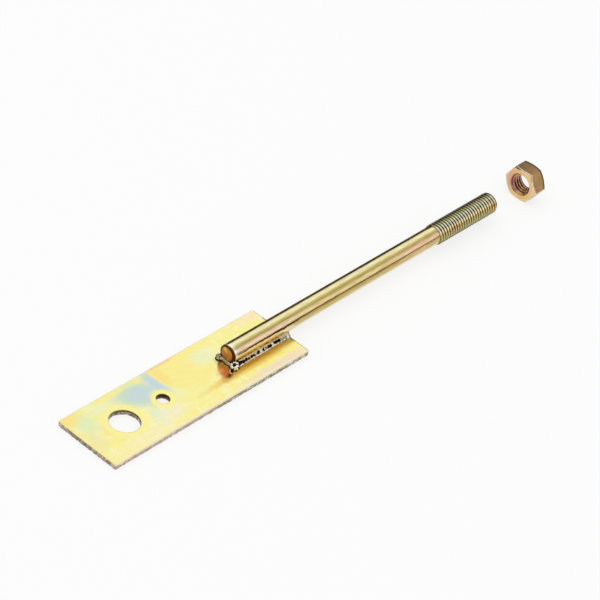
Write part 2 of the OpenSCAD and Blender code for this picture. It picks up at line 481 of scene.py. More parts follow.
# The same plating over a rolled thread. The film gathers in the roots, and painted shade makes the grooves
# nearly black between crests that are olive on the far flank, straw on the near one and pale along one strip.
# Its bands round the axis paint the studio's reflections, with a dark line on the far flank, and a dark
# grazing tint paints shade on the flanks.
THREAD_CHROMATE = PlatedSteel(
    name="yellow_chromate_zinc_on_rolled_thread",
    clouds=("#C4C694", "#D0C888", "#D6B878", "#BEC49C"), cloud_mm=6,
    grain="#8E8247", grain_mm=(0.5, 2.5, 2.5), grain_share=0.25, grain_depth_mm=0.004,
    crevice="#0E0B05", crest="#FFFCEC", roughness=(0.14, 0.22),
    # Painted reflections and shade round the axis.
    bands=((-180, "#9A9870"), (-60, "#A6A188"), (-42, "#A19F85"), (-27, "#22200F"), (-13, "#848460"),
           (2, "#A0A070"), (10, "#C2C28E"), (20, "#F8F4D8"), (36, "#F8ECC0"), (46, "#FFF4C8"),
           (54, "#F2D898"), (62, "#D8BE76"), (78, "#AC9F5E"), (95, "#A8A678"), (108, "#848264"),
           (126, "#54543E"), (180, "#9A9870")),
    # Painted shade: a dark tint dims the grazing reflection on the far flank and low on the near side.
    edges=((-180, "#FFFFFF"), (-84, "#FFFFFF"), (-70, "#C0BCB0"), (-42, "#8E8A7A"), (-27, "#201E14"),
           (-14, "#E0E0D8"), (80, "#FFFFFF"), (105, "#9A968A"), (130, "#9A968A"), (180, "#FFFFFF")),
    stains=(
        Stain("#C8804C", (247, -4.9), (2.6, 0.9), softness=0.7, strength=0.45),
        Stain("#E2A45C", (233, -4.6), (2.4, 1.4), softness=0.7, strength=0.45),
        Stain("#D89A5C", (281, -5.0), (3.5, 1.2), softness=0.7, strength=0.5),
    ), band_share=0.85, wander_mm=0.5, wander_size_mm=3)

# A cropped bar end, torn rather than cut. It gives the eye an orange-brown face, partly a painted reflection
# of the strap below it, with one painted yellow highlight, in a dark rim of painted shade.
CROPPED_END = PlatedSteel(
    name="yellow_chromate_zinc_on_cropped_end",
    clouds=("#CC7E48", "#DE965A", "#D07A44", "#BC9458"), cloud_mm=2.0,
    grain="#7A5A30", grain_mm=(0.4, 0.25, 2.5), grain_share=0.45, grain_depth_mm=0.03,
    crevice="#120D06", crest="#F3EDE2", roughness=(0.28, 0.42),
    # Painted highlight: a yellow band on the face's upper part.
    bands=((-180, "#D08C5C"), (-62, "#D49262"), (-52, "#EEBC70"), (-44, "#FFF090"), (-30, "#FFF090"),
           (-16, "#DA965E"), (180, "#D08C5C")),
    band_share=0.7, wander_mm=0.8, wander_size_mm=2)

# The bar's sawn tip under the same plating. It gives the eye a plain straw-coloured face with fine
# saw marks.
SAWN_TIP = PlatedSteel(
    name="yellow_chromate_zinc_on_sawn_tip",
    clouds=("#C8C088", "#D6C484", "#CDB470", "#C2C094"), cloud_mm=3.0,
    grain="#8A7A44", grain_mm=(0.6, 3.0, 0.35), grain_share=0.4, grain_depth_mm=0.01,
    crevice="#33250F", crest="#FFFCEC", roughness=(0.24, 0.34))

# Forged nut flats under the same plating. They give the eye a bronze metal with a fine mottle, darkest on
# top: its bands round the axis paint light and shade on each flat.
NUT_FLATS = PlatedSteel(
    name="yellow_chromate_zinc_on_forged_flats",
    clouds=("#C49C68", "#B88C58", "#CDA468", "#A89468"), cloud_mm=2.4,
    grain="#8A6A44", grain_mm=(2.2, 2.2, 2.2), grain_share=0.25, grain_depth_mm=0.005,
    crevice="#2E2C20", crest="#FFEAE0", roughness=(0.26, 0.38),
    # Painted light and shade: each flat its own colour by the angle it faces.
    bands=((-180, "#A88A58"), (-90, "#9A8258"), (-34, "#54462F"), (-8, "#74583E"), (28, "#9A744E"),
           (33, "#E2B884"), (60, "#D8B47A"), (87, "#E2AC82"), (93, "#B4925E"), (180, "#A88A58")),
    band_share=0.75, wander_mm=0.2, wander_size_mm=3)

# The nut's pressed end faces, smoother than its flats, so that they give the eye a yellow gold
# that turns pink on one side.
NUT_FACES = PlatedSteel(
    name="yellow_chromate_zinc_on_pressed_faces",
    clouds=("#EEC878", "#EAB86E", "#E4CC88", "#DCA868"), cloud_mm=3.0,
    grain="#A87C3E", grain_mm=(0.4, 0.6, 0.6), grain_share=0.35, grain_depth_mm=0.006,
    crevice="#5A3A20", crest="#FFF0E4", roughness=(0.16, 0.26),
    bands=((-180, "#F4D690"), (-125, "#E0B090"), (-70, "#DCA892"), (-30, "#E6C080"), (30, "#F2D494"),
           (80, "#EFC6A4"), (130, "#EEC874"), (180, "#ECC66E")),
    band_share=0.7, wander_mm=0.8, wander_size_mm=5)

# The nut's tapped thread, where the film is thick. It gives the eye pinkish brown grooves, and its bands
# round the axis paint light and shade inside the bore.
NUT_THREAD = PlatedSteel(
    name="yellow_chromate_zinc_in_tapped_thread",
    clouds=("#B0766C", "#C08870", "#D09C60", "#A06A66"), cloud_mm=4.0,
    grain="#6A4638", grain_mm=(0.4, 1.5, 1.5), grain_share=0.4, grain_depth_mm=0.006,
    crevice="#64423E", crest="#E0B09A", roughness=(0.26, 0.38),
    # Painted light and shade round the bore.
    bands=((-180, "#CCAE60"), (-150, "#A07058"), (-115, "#8A605A"), (-80, "#DC9480"), (-50, "#ECB098"),
           (0, "#B07E6A"), (100, "#A87662"), (150, "#C0A050"), (180, "#B89A50")),
    band_share=0.6, wander_mm=0.8, wander_size_mm=4)

# The strap's sheared sides and punched hole walls: a burnished strip over a torn one. They give
# the eye a broken line of pink, grey and brown with upright scores.
SHEARED_SIDE = PlatedSteel(
    name="yellow_chromate_zinc_on_sheared_side",
    clouds=("#F8EADC", "#3E3426", "#D8BCA4", "#5A5E4C", "#F4E6DA"), cloud_mm=3.0, cloud_spread=0.26,
    grain="#5A5044", grain_mm=(1.2, 1.2, 4.0), grain_share=0.3, grain_depth_mm=0.02,
    crevice="#2E281E", crest="#F8EEE2", roughness=(0.30, 0.45),
    stains=(
        Stain("#F4D8C8", (0, -20), (44, 1.5), softness=0.4, strength=0.45),
        Stain("#A8AC9A", (88, -20), (44, 1.5), softness=0.4, strength=0.3),
        Stain("#A88C60", (-26, 0), (1.5, 24), softness=0.4, strength=0.45),
    ), wander_mm=0.5, wander_size_mm=4)


@dataclass(frozen=True)
class SpatterFinish:
    """Flash thrown out of a weld, under thin zinc. It gives the eye bright beads between scorched pits."""

    name: str = "zinc_plate_on_weld_flash"
    pit: str = "#15110C"
    slag: str = "#F0CA8C"
    metal: str = "#8C9488"
    bead: str = "#FDFBF6"
    levels: tuple[float, float, float, float] = (0.16, 0.36, 0.60, 0.84)     # of relief, for the four
    mottle_mm: float = 0.9
    mottle_share: float = 0.18          # how far the mottle shifts the relief, up and down
    bump_mm: float = 0.08
    bump_strength: float = 0.8
    roughness: tuple[float, float] = (0.25, 0.50)

    def material(self) -> Material:
        """Builds the node material, coloured by the mesh's relief.

        Returns:
            The finished material.
        """
        material, tree = new_tree(self.name)
        place = add_node(tree, "ShaderNodeTexCoord").outputs["Object"]
        relief = add_node(tree, "ShaderNodeAttribute", attribute_name=RELIEF).outputs["Fac"]
        mottle = add_node(tree, "ShaderNodeTexNoise", settings={
            "Scale": 1 / (self.mottle_mm * MM), "Detail": 4}, links={"Vector": place})
        centred = add_node(tree, "ShaderNodeMapRange", clamp=False, links={"Value": mottle.outputs[0]},
                           settings={"From Min": MOTTLED[0], "From Max": MOTTLED[1],
                                     "To Min": -self.mottle_share, "To Max": self.mottle_share})
        level = add_node(tree, "ShaderNodeMath", links={0: relief, 1: centred.outputs[0]})
        colour = add_node(tree, "ShaderNodeValToRGB", links={"Fac": level.outputs[0]},
                          stops=list(zip(self.levels, (self.pit, self.slag, self.metal, self.bead))))
        rough = add_node(tree, "ShaderNodeMapRange", links={"Value": mottle.outputs[0]}, settings={
            "From Min": MOTTLED[0], "From Max": MOTTLED[1],
            "To Min": self.roughness[0], "To Max": self.roughness[1]})
        bump = add_node(tree, "ShaderNodeBump", links={"Height": mottle.outputs[0]}, settings={
            "Strength": self.bump_strength, "Distance": self.bump_mm * MM})
        shader = add_node(tree, "ShaderNodeBsdfPrincipled", settings={"Metallic": 1.0}, links={
            "Base Color": colour.outputs[0], "Roughness": rough.outputs[0], "Normal": bump.outputs[0]})
        add_node(tree, "ShaderNodeOutputMaterial", links={"Surface": shader.outputs[0]})
        return material


class Skin:
    """One closed mesh that grows ring by ring, with a relief for each vertex and a finish for each strip."""

    def __init__(self) -> None:
        """Starts an empty mesh."""
        self.mesh = bmesh.new()
        self.relief = self.mesh.verts.layers.float.new(RELIEF)

    def ring(self, points: Iterable[Vector], relief: float = PLAIN) -> list[BMVert]:
        """Adds loose vertices.

        Args:
            points: Their places.
            relief: The relief of them all.

        Returns:
            The new vertices.
        """
        verts = [self.mesh.verts.new(point) for point in points]
        for vert in verts:
            vert[self.relief] = relief
        return verts

    def strip(self, first: Sequence[BMVert], second: Sequence[BMVert], finish: int = 0) -> None:
        """Joins two closed rings of the same count.

        Args:
            first: One ring.
            second: The other ring.
            finish: The strip's place in the object's list of materials.
        """
        for i, vert in enumerate(first):
            j = (i + 1) % len(first)
            face = self.mesh.faces.new((vert, first[j], second[j], second[i]))
            face.material_index = finish

    def loft(self, rings: Sequence[Sequence[BMVert]], finish: int = 0) -> None:
        """Joins each ring to the next.

        Args:
            rings: Closed rings of the same count.
            finish: The strips' place in the object's list of materials.
        """
        for first, second in zip(rings, rings[1:]):
            self.strip(first, second, finish)

    def fan(self, ring: Sequence[BMVert], centre: Vector, finish: int = 0) -> None:
        """Closes a ring with triangles to one point.

        Args:
            ring: The closed ring.
            centre: The point.
            finish: The fan's place in the object's list of materials.
        """
        hub = self.ring([centre])[0]
        for i, vert in enumerate(ring):
            face = self.mesh.faces.new((vert, ring[(i + 1) % len(ring)], hub))
            face.material_index = finish

    def fill(self, rings: Sequence[Sequence[BMVert]], normal: Vector) -> None:
        """Fills the flat face between an outline and its holes.

        Args:
            rings: The outline and the holes.
            normal: The face's direction.
        """
        edges = [self.mesh.edges.get((vert, ring[(i + 1) % len(ring)]))
                 for ring in rings for i, vert in enumerate(ring)]
        bmesh.ops.triangle_fill(self.mesh, use_beauty=True, edges=edges, normal=normal)

    def ball(self, centre: Vector, radii: Vector) -> None:
        """Adds a closed ellipsoid.

        Args:
            centre: Its centre.
            radii: Its three half axes.
        """
        place = Matrix.Translation(centre) @ Matrix.Diagonal(radii.to_4d())
        bmesh.ops.create_icosphere(self.mesh, subdivisions=BALL_SUBDIVISIONS, radius=1, matrix=place)

    def to_mesh(self, name: str, crease: float = 35) -> Mesh:
        """Welds the seams and turns the mesh into Blender's own.

        Args:
            name: The mesh's name.
            crease: Edges that turn by more than this many degrees stay sharp.

        Returns:
            The mesh.
        """
        bmesh.ops.remove_doubles(self.mesh, verts=self.mesh.verts, dist=MERGE_DISTANCE)
        bmesh.ops.dissolve_degenerate(self.mesh, dist=SLIVER_DISTANCE, edges=self.mesh.edges)
        bmesh.ops.recalc_face_normals(self.mesh, faces=self.mesh.faces)
        mesh = bpy.data.meshes.new(name)
        self.mesh.to_mesh(mesh)
        self.mesh.free()
        mesh.shade_smooth()
        mesh.set_sharp_from_angle(angle=math.radians(crease))
        return mesh


def place_piece(name: str, mesh: Mesh, finishes: Sequence[Any], node: str, body: Body,
                slot: Slot) -> Object:
    """Makes an object that stands for a CAD node.

    Args:
        name: The piece's name.
        mesh: Its mesh.
        finishes: Its finishes, in the order of its material slots.
        node: The CAD node that it replaces.
        body: The body that it rides on.
        slot: The record's material slot that it belongs to; not used.

    Returns:
        The new object.
    """
    piece = bpy.data.objects.new(name, mesh)
    bpy.context.scene.collection.objects.link(piece)
    for finish in finishes:
        mesh.materials.append(finish.material())
    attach(piece, body.value)
    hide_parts(node)
    log.info("%s: %d faces, %d finishes", name, len(mesh.polygons), len(finishes))
    return piece


@dataclass(frozen=True)
class WallRelief:
    """How worn a cut wall of the strap is, from the top face down, as values of relief. In the holes the low
    values paint the shade inside them.
    """

    roll: tuple[float, float, float, float, float]
    burnished: float
    torn: float
    low: float


@dataclass(frozen=True)
class EdgePoint:
    """A point on a cut edge of the strap, and the direction that leads out of the steel there."""

    place: Vector
    out: Vector


@dataclass
class StrapSheet:
    """The flat strap with its bolt hole and nail hole, sheared on all four sides."""

    low: Vector
    high: Vector
    holes: list[tuple[float, float]]            # x of the centre, and radius
    corner_radius: float = 0.8 * MM
    rollover: float = 0.40 * MM                 # how far the shear draws the top edge down
    rollover_change: float = 0.35               # share by which it comes and goes along the edge
    rollover_change_size: float = 5.0 * MM
    burnish_share: float = 0.42                 # upper part of the side, which the blade polished
    tear_depth: float = 0.35 * MM
    tear_size: float = 0.9 * MM
    tear_bias: float = 0.5                      # the more, the less of the edge stays untorn
    torn_inset: float = 0.01 * MM
    torn_share: float = 0.08                    # where the torn part starts, below the burnished one
    foot_tear_size: float = 1.1 * MM
    foot_tear_bias: float = 0.4
    burr: float = 0.12 * MM
    low_rise: float = 2.0                       # heights near the underside, as shares of the burr
    lip_rise: float = 0.4
    lip_inset: float = 0.3
    foot_relief: float = 0.6
    margin: float = 0.35 * MM                   # a quiet strip between the edge and the flat face
    darkened_end: float = 0.1                      # relief of the dark edge at the end under the rod
    plated_end: float = 0.45                    # and of the unworn edge at the free end
    # The outline's rolled rim is pale: rubbed wear with a painted highlight.
    side_relief: WallRelief = WallRelief((0.55, 0.7, 0.8, 0.7, 0.52), 0.5, 0.38, 0.45)
    # Painted shade inside the holes: their walls are dark, darkest in the nail hole and towards the top,
    # paler below.
    hole_relief: WallRelief = WallRelief((PLAIN, 0.42, 0.25, 0.12, 0.08), 0.2, 0.34, 0.46)
    nail_hole_relief: WallRelief = WallRelief((PLAIN, 0.40, 0.15, 0.05, 0.0), 0.0, 0.05, 0.2)
    roll_turns: tuple[float, ...] = (0, TAU / 18, TAU / 9, TAU / 6, TAU / 4)
    edge_step: float = 0.7 * MM
    arc_steps: int = 8
    hole_steps: int = 96
    FINISHES = (SHEET_CHROMATE, SHEARED_SIDE)

    @classmethod
    def from_frame(cls) -> "StrapSheet":
        """Reads the strap's box and the two holes' mounts.

        Returns:
            The strap, not yet built.
        """
        low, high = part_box("strap_plate")
        mounts = {mount["name"]: mount for mount in frame["record"]["mounts"]}
        holes = [(mounts[name]["pos_m"][0], mounts[name]["dims"]["r_mm"] * MM)
                 for name in ("bolt_hole", "nail_hole")]
        return cls(low, high, holes)

    def outline(self) -> list[EdgePoint]:
        """The strap's edge, anticlockwise from the tip end's far corner.

        Returns:
            Points round the four corners and along the straight sides between them.
        """
        inset = self.corner_radius
        corners = [(self.high.x - inset, self.high.y - inset), (self.low.x + inset, self.high.y - inset),
                   (self.low.x + inset, self.low.y + inset), (self.high.x - inset, self.low.y + inset)]
        points = []
        for quarter, (x, y) in enumerate(corners):
            for step in range(self.arc_steps + 1):
                angle = (quarter + step / self.arc_steps) * TAU / 4
                out = Vector((math.cos(angle), math.sin(angle), 0))
                points.append(EdgePoint(Vector((x, y, 0)) + out * inset, out))
            start = points[-1]
            next_x, next_y = corners[(quarter + 1) % len(corners)]
            end = Vector((next_x, next_y, 0)) + start.out * inset
            count = max(1, round((end - start.place).length / self.edge_step))
            points += [EdgePoint(start.place.lerp(end, i / count), start.out) for i in range(1, count)]
        return points

    def hole(self, x: float, radius: float) -> list[EdgePoint]:
        """The edge of a punched hole.

        Args:
            x: The hole's centre.
            radius: Its radius.

        Returns:
            Points round the hole.
        """
        turns = [TAU * step / self.hole_steps for step in range(self.hole_steps)]
        arms = [Vector((math.cos(turn), math.sin(turn), 0)) for turn in turns]
        return [EdgePoint(Vector((x, 0, 0)) + arm * radius, -arm) for arm in arms]

    def wall(self, skin: Skin, edge: list[EdgePoint], worn: WallRelief) -> tuple[list[BMVert], list[BMVert]]:
        """Builds one sheared wall, from the top face to the underside.

        Args:
            skin: The mesh that grows.
            edge: The points of the wall's edge.
            worn: The wall's relief.

        Returns:
            The rings that the top face and the underside are filled from.
        """
        top = self.high.z
        swell = [1 + self.rollover_change * noise.noise(point.place / self.rollover_change_size)
                 for point in edge]

        def ring(inset: float, drop: float, relief: float, ragged: float = 0.0) -> list[BMVert]:
            """A ring at an inset from the edge and a drop below the top face.

            Args:
                inset: How far it lies inside the edge.
                drop: How far it lies below the top face.
                relief: Its relief.
                ragged: How deep the steel is torn there.

            Returns:
                The ring.
            """
            places = []
            for point, share in zip(edge, swell):
                tear = ragged * max(0.0, self.tear_bias + noise.noise(point.place / self.tear_size))
                height = Vector((0, 0, top - drop * share))
                places.append(point.place - point.out * (inset * share + tear) + height)
            return skin.ring(places, relief)

        def foot_ring(inset: float, rise: float, relief: float) -> list[BMVert]:
            """A ring near the underside, where the steel tore away unevenly.

            Args:
                inset: How far it lies inside the edge.
                rise: How far it lies above the underside.
                relief: Its relief.

            Returns:
                The ring.
            """
            places = []
            for point in edge:
                wave = noise.noise(point.place / self.foot_tear_size)
                tear = self.tear_depth * max(0.0, self.foot_tear_bias + wave)
                places.append(point.place + Vector((0, 0, rise)) - point.out * (inset + tear))
            return skin.ring(places, relief)

        face = ring(self.rollover + self.margin, 0, PLAIN)
        roll = [ring(self.rollover * (1 - math.sin(turn)), self.rollover * (1 - math.cos(turn)), relief)
                for turn, relief in zip(self.roll_turns, worn.roll)]
        for vert in (vert for verts in roll for vert in verts):
            if vert.co.x > self.high.x - self.rollover:
                vert[skin.relief] = self.darkened_end
            elif vert.co.x < self.low.x + self.rollover:
                vert[skin.relief] = self.plated_end
        skin.loft([face, *roll])
        burnished = ring(0, top * self.burnish_share, worn.burnished)
        torn = ring(self.torn_inset, top * (self.burnish_share + self.torn_share), worn.torn, self.tear_depth)
        low = foot_ring(0, self.burr * self.low_rise, worn.low)
        lip = foot_ring(self.burr * self.lip_inset, self.burr * self.lip_rise, self.foot_relief)
        foot = foot_ring(self.burr, 0, self.foot_relief)
        under = foot_ring(self.burr + self.margin, 0, PLAIN)
        skin.loft([roll[-1], burnished, torn, low, lip], finish=1)
        skin.loft([lip, foot, under])
        return face, under

    def build(self) -> Object:
        """Builds and dresses the strap.

        Returns:
            The strap's object.
        """
        skin = Skin()
        walls = [self.wall(skin, self.outline(), self.side_relief)]
        walls += [self.wall(skin, self.hole(x, radius), worn)
                  for (x, radius), worn in zip(self.holes, (self.hole_relief, self.nail_hole_relief))]
        skin.fill([face for face, _ in walls], Vector((0, 0, 1)))
        skin.fill([under for _, under in walls], Vector((0, 0, -1)))
        return place_piece("strap_sheet", skin.to_mesh("strap_sheet"), self.FINISHES, "strap_plate",
                           Body.STRAP_BOLT, Slot.STRAP)


@dataclass(frozen=True)
class MetricThread:
    """A right-hand metric thread on an axis along X, rolled on the rod and tapped in the nut."""

    datum_x: float                      # a place where the crest stands level with the axis, at +Y
    axis_z: float
    outer_radius: float
    pitch: float = 2.0 * MM             # as the photograph shows it; the nut's travel is 37 turns
    depth: float = 1.2 * MM
    crest_share: float = 0.15           # half the width of the crest, in pitches
    root_share: float = 0.05            # half the width of the root, in pitches
    roundness: float = 0.15             # how far the flanks are rounded
    steps: tuple[float, ...] = (        # a turn's vertices, in pitches, closest at the flanks' ends
        0.0, 0.09, 0.17, 0.21, 0.28, 0.38, 0.46, 0.50, 0.54, 0.62, 0.72, 0.79, 0.83, 0.91)
    spare_turns: int = 4                # wound besides those that show, so that the ends are full
    decimals: int = 9                   # of a metre, to which two places count as one

    @property
    def root_radius(self) -> float:
        """Radius at the bottom of the groove."""
        return self.outer_radius - self.depth

    def height(self, x: float, angle: float) -> float:
        """How high the thread stands at a place.

        Args:
            x: Distance along the axis.
            angle: Angle round the axis, from +Y towards +Z.

        Returns:
            0 in the root and 1 on the crest.
        """
        share = ((x - self.datum_x) / self.pitch - angle / TAU) % 1
        from_crest = min(share, 1 - share)
        flank = 0.5 - self.crest_share - self.root_share
        rise = clamp((0.5 - self.root_share - from_crest) / flank)
        return rise + self.roundness * (smooth(rise) - rise)

    def radius(self, x: float, angle: float) -> float:
        """Radius of the rolled thread at a place."""
        return self.root_radius + self.height(x, angle) * (self.outer_radius - self.root_radius)

    def point(self, x: float, radius: float, angle: float) -> Vector:
        """A point at a radius and an angle round the axis."""
        return Vector((x, radius * math.cos(angle), self.axis_z + radius * math.sin(angle)))

    def ring(self, x: float, radius: float, angles: Sequence[float]) -> list[Vector]:
        """A circle of points round the axis."""
        return [self.point(x, radius, angle) for angle in angles]

    def wind(self, skin: Skin, angles: Sequence[float], x_from: float, x_to: float,
             form: Callable[[float, float], tuple[float, float]], finish: int) -> None:
        """Winds a threaded surface whose lines of vertices follow the helix.

        Args:
            skin: The mesh that grows.
            angles: The columns' angles, rising through one turn.
            x_from: Where the surface starts. Its first ring is round.
            x_to: Where it ends. Its last ring is round.
            form: Gives radius and relief for a place and an angle.
            finish: The surface's place in the object's list of materials.
        """
        first = math.floor((x_from - self.datum_x) / self.pitch) - 1
        turns = math.ceil((x_to - x_from) / self.pitch) + self.spare_turns
        count = len(self.steps)
        columns = []
        for angle in angles:
            column = []
            for index in range(turns * count):
                place = first + index // count + self.steps[index % count] + angle / TAU
                x = min(x_to, max(x_from, self.datum_x + place * self.pitch))
                radius, relief = form(x, angle)
                column += skin.ring([self.point(x, radius, angle)], relief)
            columns.append(column)
        for i, column in enumerate(columns):
            shift = count if i + 1 == len(columns) else 0
            beside = columns[(i + 1) % len(columns)]
            for m in range((turns - 1) * count - 1):
                corners = (column[m], column[m + 1], beside[m + 1 + shift], beside[m + shift])
                if len({round(vert.co.x, self.decimals) for vert in corners}) == 1:
                    continue
                skin.mesh.faces.new(corners).material_index = finish


@dataclass
class BoltRod:
    """The round rod: cropped at the strap's end, plain along its shank, threaded at its tip."""

    low: Vector
    high: Vector
    thread: MetricThread
    thread_start: float
    shank_radius: float = 5.35 * MM
    end_chamfer: float = 0.7 * MM
    face_radius: float = 4.3 * MM       # half the cropped face's height
    face_width: float = 0.88            # its width as a share of its height
    face_shift: float = 0.42 * MM       # how far it sits off the axis, towards the far side
    face_rings: tuple[float, ...] = (0.25, 0.5, 0.72, 0.88)     # shares of its radius
    face_hollow: float = 0.12 * MM      # how far its middle lies back
    face_hub: float = 0.15 * MM         # and its very centre
    face_wave: float = 0.07 * MM
    face_wave_size: float = 1.4 * MM
    rim_relief: float = 0.08            # the dark rim round it, painted shade
    bevel_start: float = 0.25           # the bevel's first ring, as a share of the chamfer
    bevel_squeeze: float = 0.4          # and how far it is narrowed, as a share of the face
    bevel_end: tuple[float, float] = (0.08 * MM, 0.06 * MM)     # before the chamfer's end, and inwards
    # Painted shade: the bevel round the cropped face is dark.
    bevel_relief: tuple[float, float] = (0.05, 0.12)
    # The shoulder past the chamfer is pale: rubbed wear with a painted highlight.
    shoulder: tuple[tuple[float, float, float], ...] = (        # past the chamfer, inwards, relief
        (0.05 * MM, 0.01 * MM, 0.9), (0.35 * MM, 0, CREST), (1.0 * MM, 0, CREST))
    shank_lead: float = 2.2 * MM        # from the chamfer to the shank's first plain ring
    tip_chamfer: float = 1.4 * MM
    tip_relief: float = 0.7
    tip_rings: tuple[tuple[float, float], ...] = ((0, 0.93), (0.05 * MM, 0.6), (0.08 * MM, 0.3))
    tip_hub: float = 0.09 * MM          # how far the middle of the tip lies back
    first_cone: float = 0.35 * MM       # the cone that leads up to the thread's first ridge
    run_out: float = 1.2 * MM           # length over which the rolled grooves come up to full depth
    datum_shift: float = 0.75 * MM      # where the first ridge stands, from the thread's start
    crest_relief: float = 0.6           # the thread's crests are hardly rubbed
    highlight_from: float = 0.62             # height from which a crest turns pale in the painted highlight strip
    highlight_span: float = 0.33
    highlight_at: float = 116              # degrees from +Y: the strip where the crests carry a painted white highlight
    highlight_reach: float = 18
    matt_at: float = 58                 # degrees from +Y: the flank whose grooves show faintly
    matt_reach: float = 38
    matt_share: float = 0.9             # how far their relief is taken back there
    straightness: float = 0.012 * MM    # how far the drawn surface wavers
    waver_size: float = 14 * MM
    rings_per_waver: int = 3
    columns: int = 96
    FINISHES = (BAR_CHROMATE, THREAD_CHROMATE, CROPPED_END, SAWN_TIP)
    BAR, THREAD, CROPPED, SAWN = range(4)       # their places in that list

    @classmethod
    def from_frame(cls) -> "BoltRod":
        """Reads the rod's box and the threaded end's mount.

        Returns:
            The rod, not yet built.
        """
        low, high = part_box("bolt_rod")
        start = cls.read_thread_start(high.x)
        thread = MetricThread(start + cls.datum_shift, (low.z + high.z) / 2, (high.z - low.z) / 2)
        return cls(low, high, thread, start)

    @staticmethod
    def read_thread_start(tip_x: float) -> float:
        """Where the shank ends: the mount gives the length from the first ridge to the last."""
        mount = next(m for m in frame["record"]["mounts"] if m["name"] == "threaded_end")
        return tip_x - BoltRod.tip_chamfer - mount["dims"]["length_mm"] * MM - BoltRod.first_cone

    @staticmethod
    def strip(angle: float, middle: float, reach: float) -> float:
        """1 in the middle of a strip that runs along the thread, and next to nothing far from it."""
        return bell((math.degrees(angle) - middle) / reach)

    def thread_form(self, x: float, angle: float) -> tuple[float, float]:
        """Radius and relief of the threaded end at a place.

        Args:
            x: Distance along the rod.
            angle: Angle round it.

        Returns:
            Radius, and relief from a root darkened as painted shade to a crest with a painted highlight along
            one strip.
        """
        rise = smooth(clamp((x - self.thread_start) / self.run_out))
        full = self.thread.radius(x, angle)
        radius = self.shank_radius + (full - self.shank_radius) * rise
        cone = self.thread.outer_radius - self.tip_chamfer + (self.high.x - x)
        if cone < radius:
            return cone, self.tip_relief
        level = self.thread.height(x, angle)
        crest_paling = self.strip(angle, self.highlight_at, self.highlight_reach)
        crest_highlight = clamp((level - self.highlight_from) / self.highlight_span)
        shown = level * self.crest_relief * (1 - crest_paling) + crest_highlight * crest_paling
        matt = self.matt_share * self.strip(angle, self.matt_at, self.matt_reach)
        return radius, PLAIN + (shown - PLAIN) * rise * (1 - matt)

    def build(self) -> Object:
        """Builds and dresses the rod.

        Returns:
            The rod's object.
        """
        skin = Skin()
        angles = [TAU * i / self.columns for i in range(self.columns)]
        start, tip = self.low.x, self.high.x
        shift = Vector((0, self.face_shift, 0))

        def ring(x: float, radius: float, relief: float = PLAIN) -> list[BMVert]:
            """A ring of vertices round the rod."""
            return skin.ring(self.thread.ring(x, radius, angles), relief)

        def narrowed(point: Vector) -> Vector:
            """A point of the round bar's end, pressed in from both sides by the cropping blades."""
            return Vector((point.x, point.y * self.face_width, point.z)) + shift

        def face_ring(share: float, relief: float = PLAIN) -> list[BMVert]:
            """A ring of the cropped face, which is slightly hollow and uneven.

            Args:
                share: The ring's radius, as a share of the face's.
                relief: Its relief.

            Returns:
                The ring.
            """
            places = []
            for point in self.thread.ring(start, self.face_radius * share, angles):
                wave = self.face_wave * (1 - share) * abs(noise.noise(point / self.face_wave_size))
                places.append(narrowed(point) + Vector((self.face_hollow * (1 - share) + wave, 0, 0)))
            return skin.ring(places, relief)

        face = [face_ring(share) for share in self.face_rings] + [face_ring(1.0, self.rim_relief)]
        skin.fan(face[0], self.thread.point(start + self.face_hub, 0, 0) + shift, finish=self.CROPPED)
        skin.loft(face, finish=self.CROPPED)
        chamfer_end = start + self.end_chamfer
        half_radius = (self.face_radius + self.shank_radius) / 2
        half = [point.lerp(narrowed(point), self.bevel_squeeze) for point in self.thread.ring(
            start + self.end_chamfer * self.bevel_start, half_radius, angles)]
        bevel = [skin.ring(half, self.bevel_relief[0]),
                 ring(chamfer_end - self.bevel_end[0], self.shank_radius - self.bevel_end[1],
                      self.bevel_relief[1])]
        skin.loft([face[-1], *bevel], finish=self.CROPPED)
        shoulder = [ring(chamfer_end + ahead, self.shank_radius - inset, relief)
                    for ahead, inset, relief in self.shoulder]
        first = chamfer_end + self.shank_lead
        count = round((self.thread_start - first) / (self.waver_size / self.rings_per_waver))
        shank = []
        for i in range(count):
            x = first + (self.thread_start - first) * i / count
            waver = self.straightness * noise.noise(Vector((x / self.waver_size, 0, 0)))
            shank.append(ring(x, self.shank_radius - abs(waver)))
        last = ring(self.thread_start, self.shank_radius)
        skin.loft([bevel[-1], *shoulder, *shank, last], finish=self.BAR)
        self.thread.wind(skin, angles, self.thread_start, tip, self.thread_form, self.THREAD)
        tip_radius = self.thread.outer_radius - self.tip_chamfer
        end = [ring(tip, tip_radius, self.tip_relief)]
        end += [ring(tip - back, tip_radius * share) for back, share in self.tip_rings]
        skin.loft(end, finish=self.SAWN)
        skin.fan(end[-1], self.thread.point(tip - self.tip_hub, 0, 0), finish=self.SAWN)
        return place_piece("rod_with_thread", skin.to_mesh("rod_with_thread"), self.FINISHES, "bolt_rod",
                           Body.STRAP_BOLT, Slot.ROD)


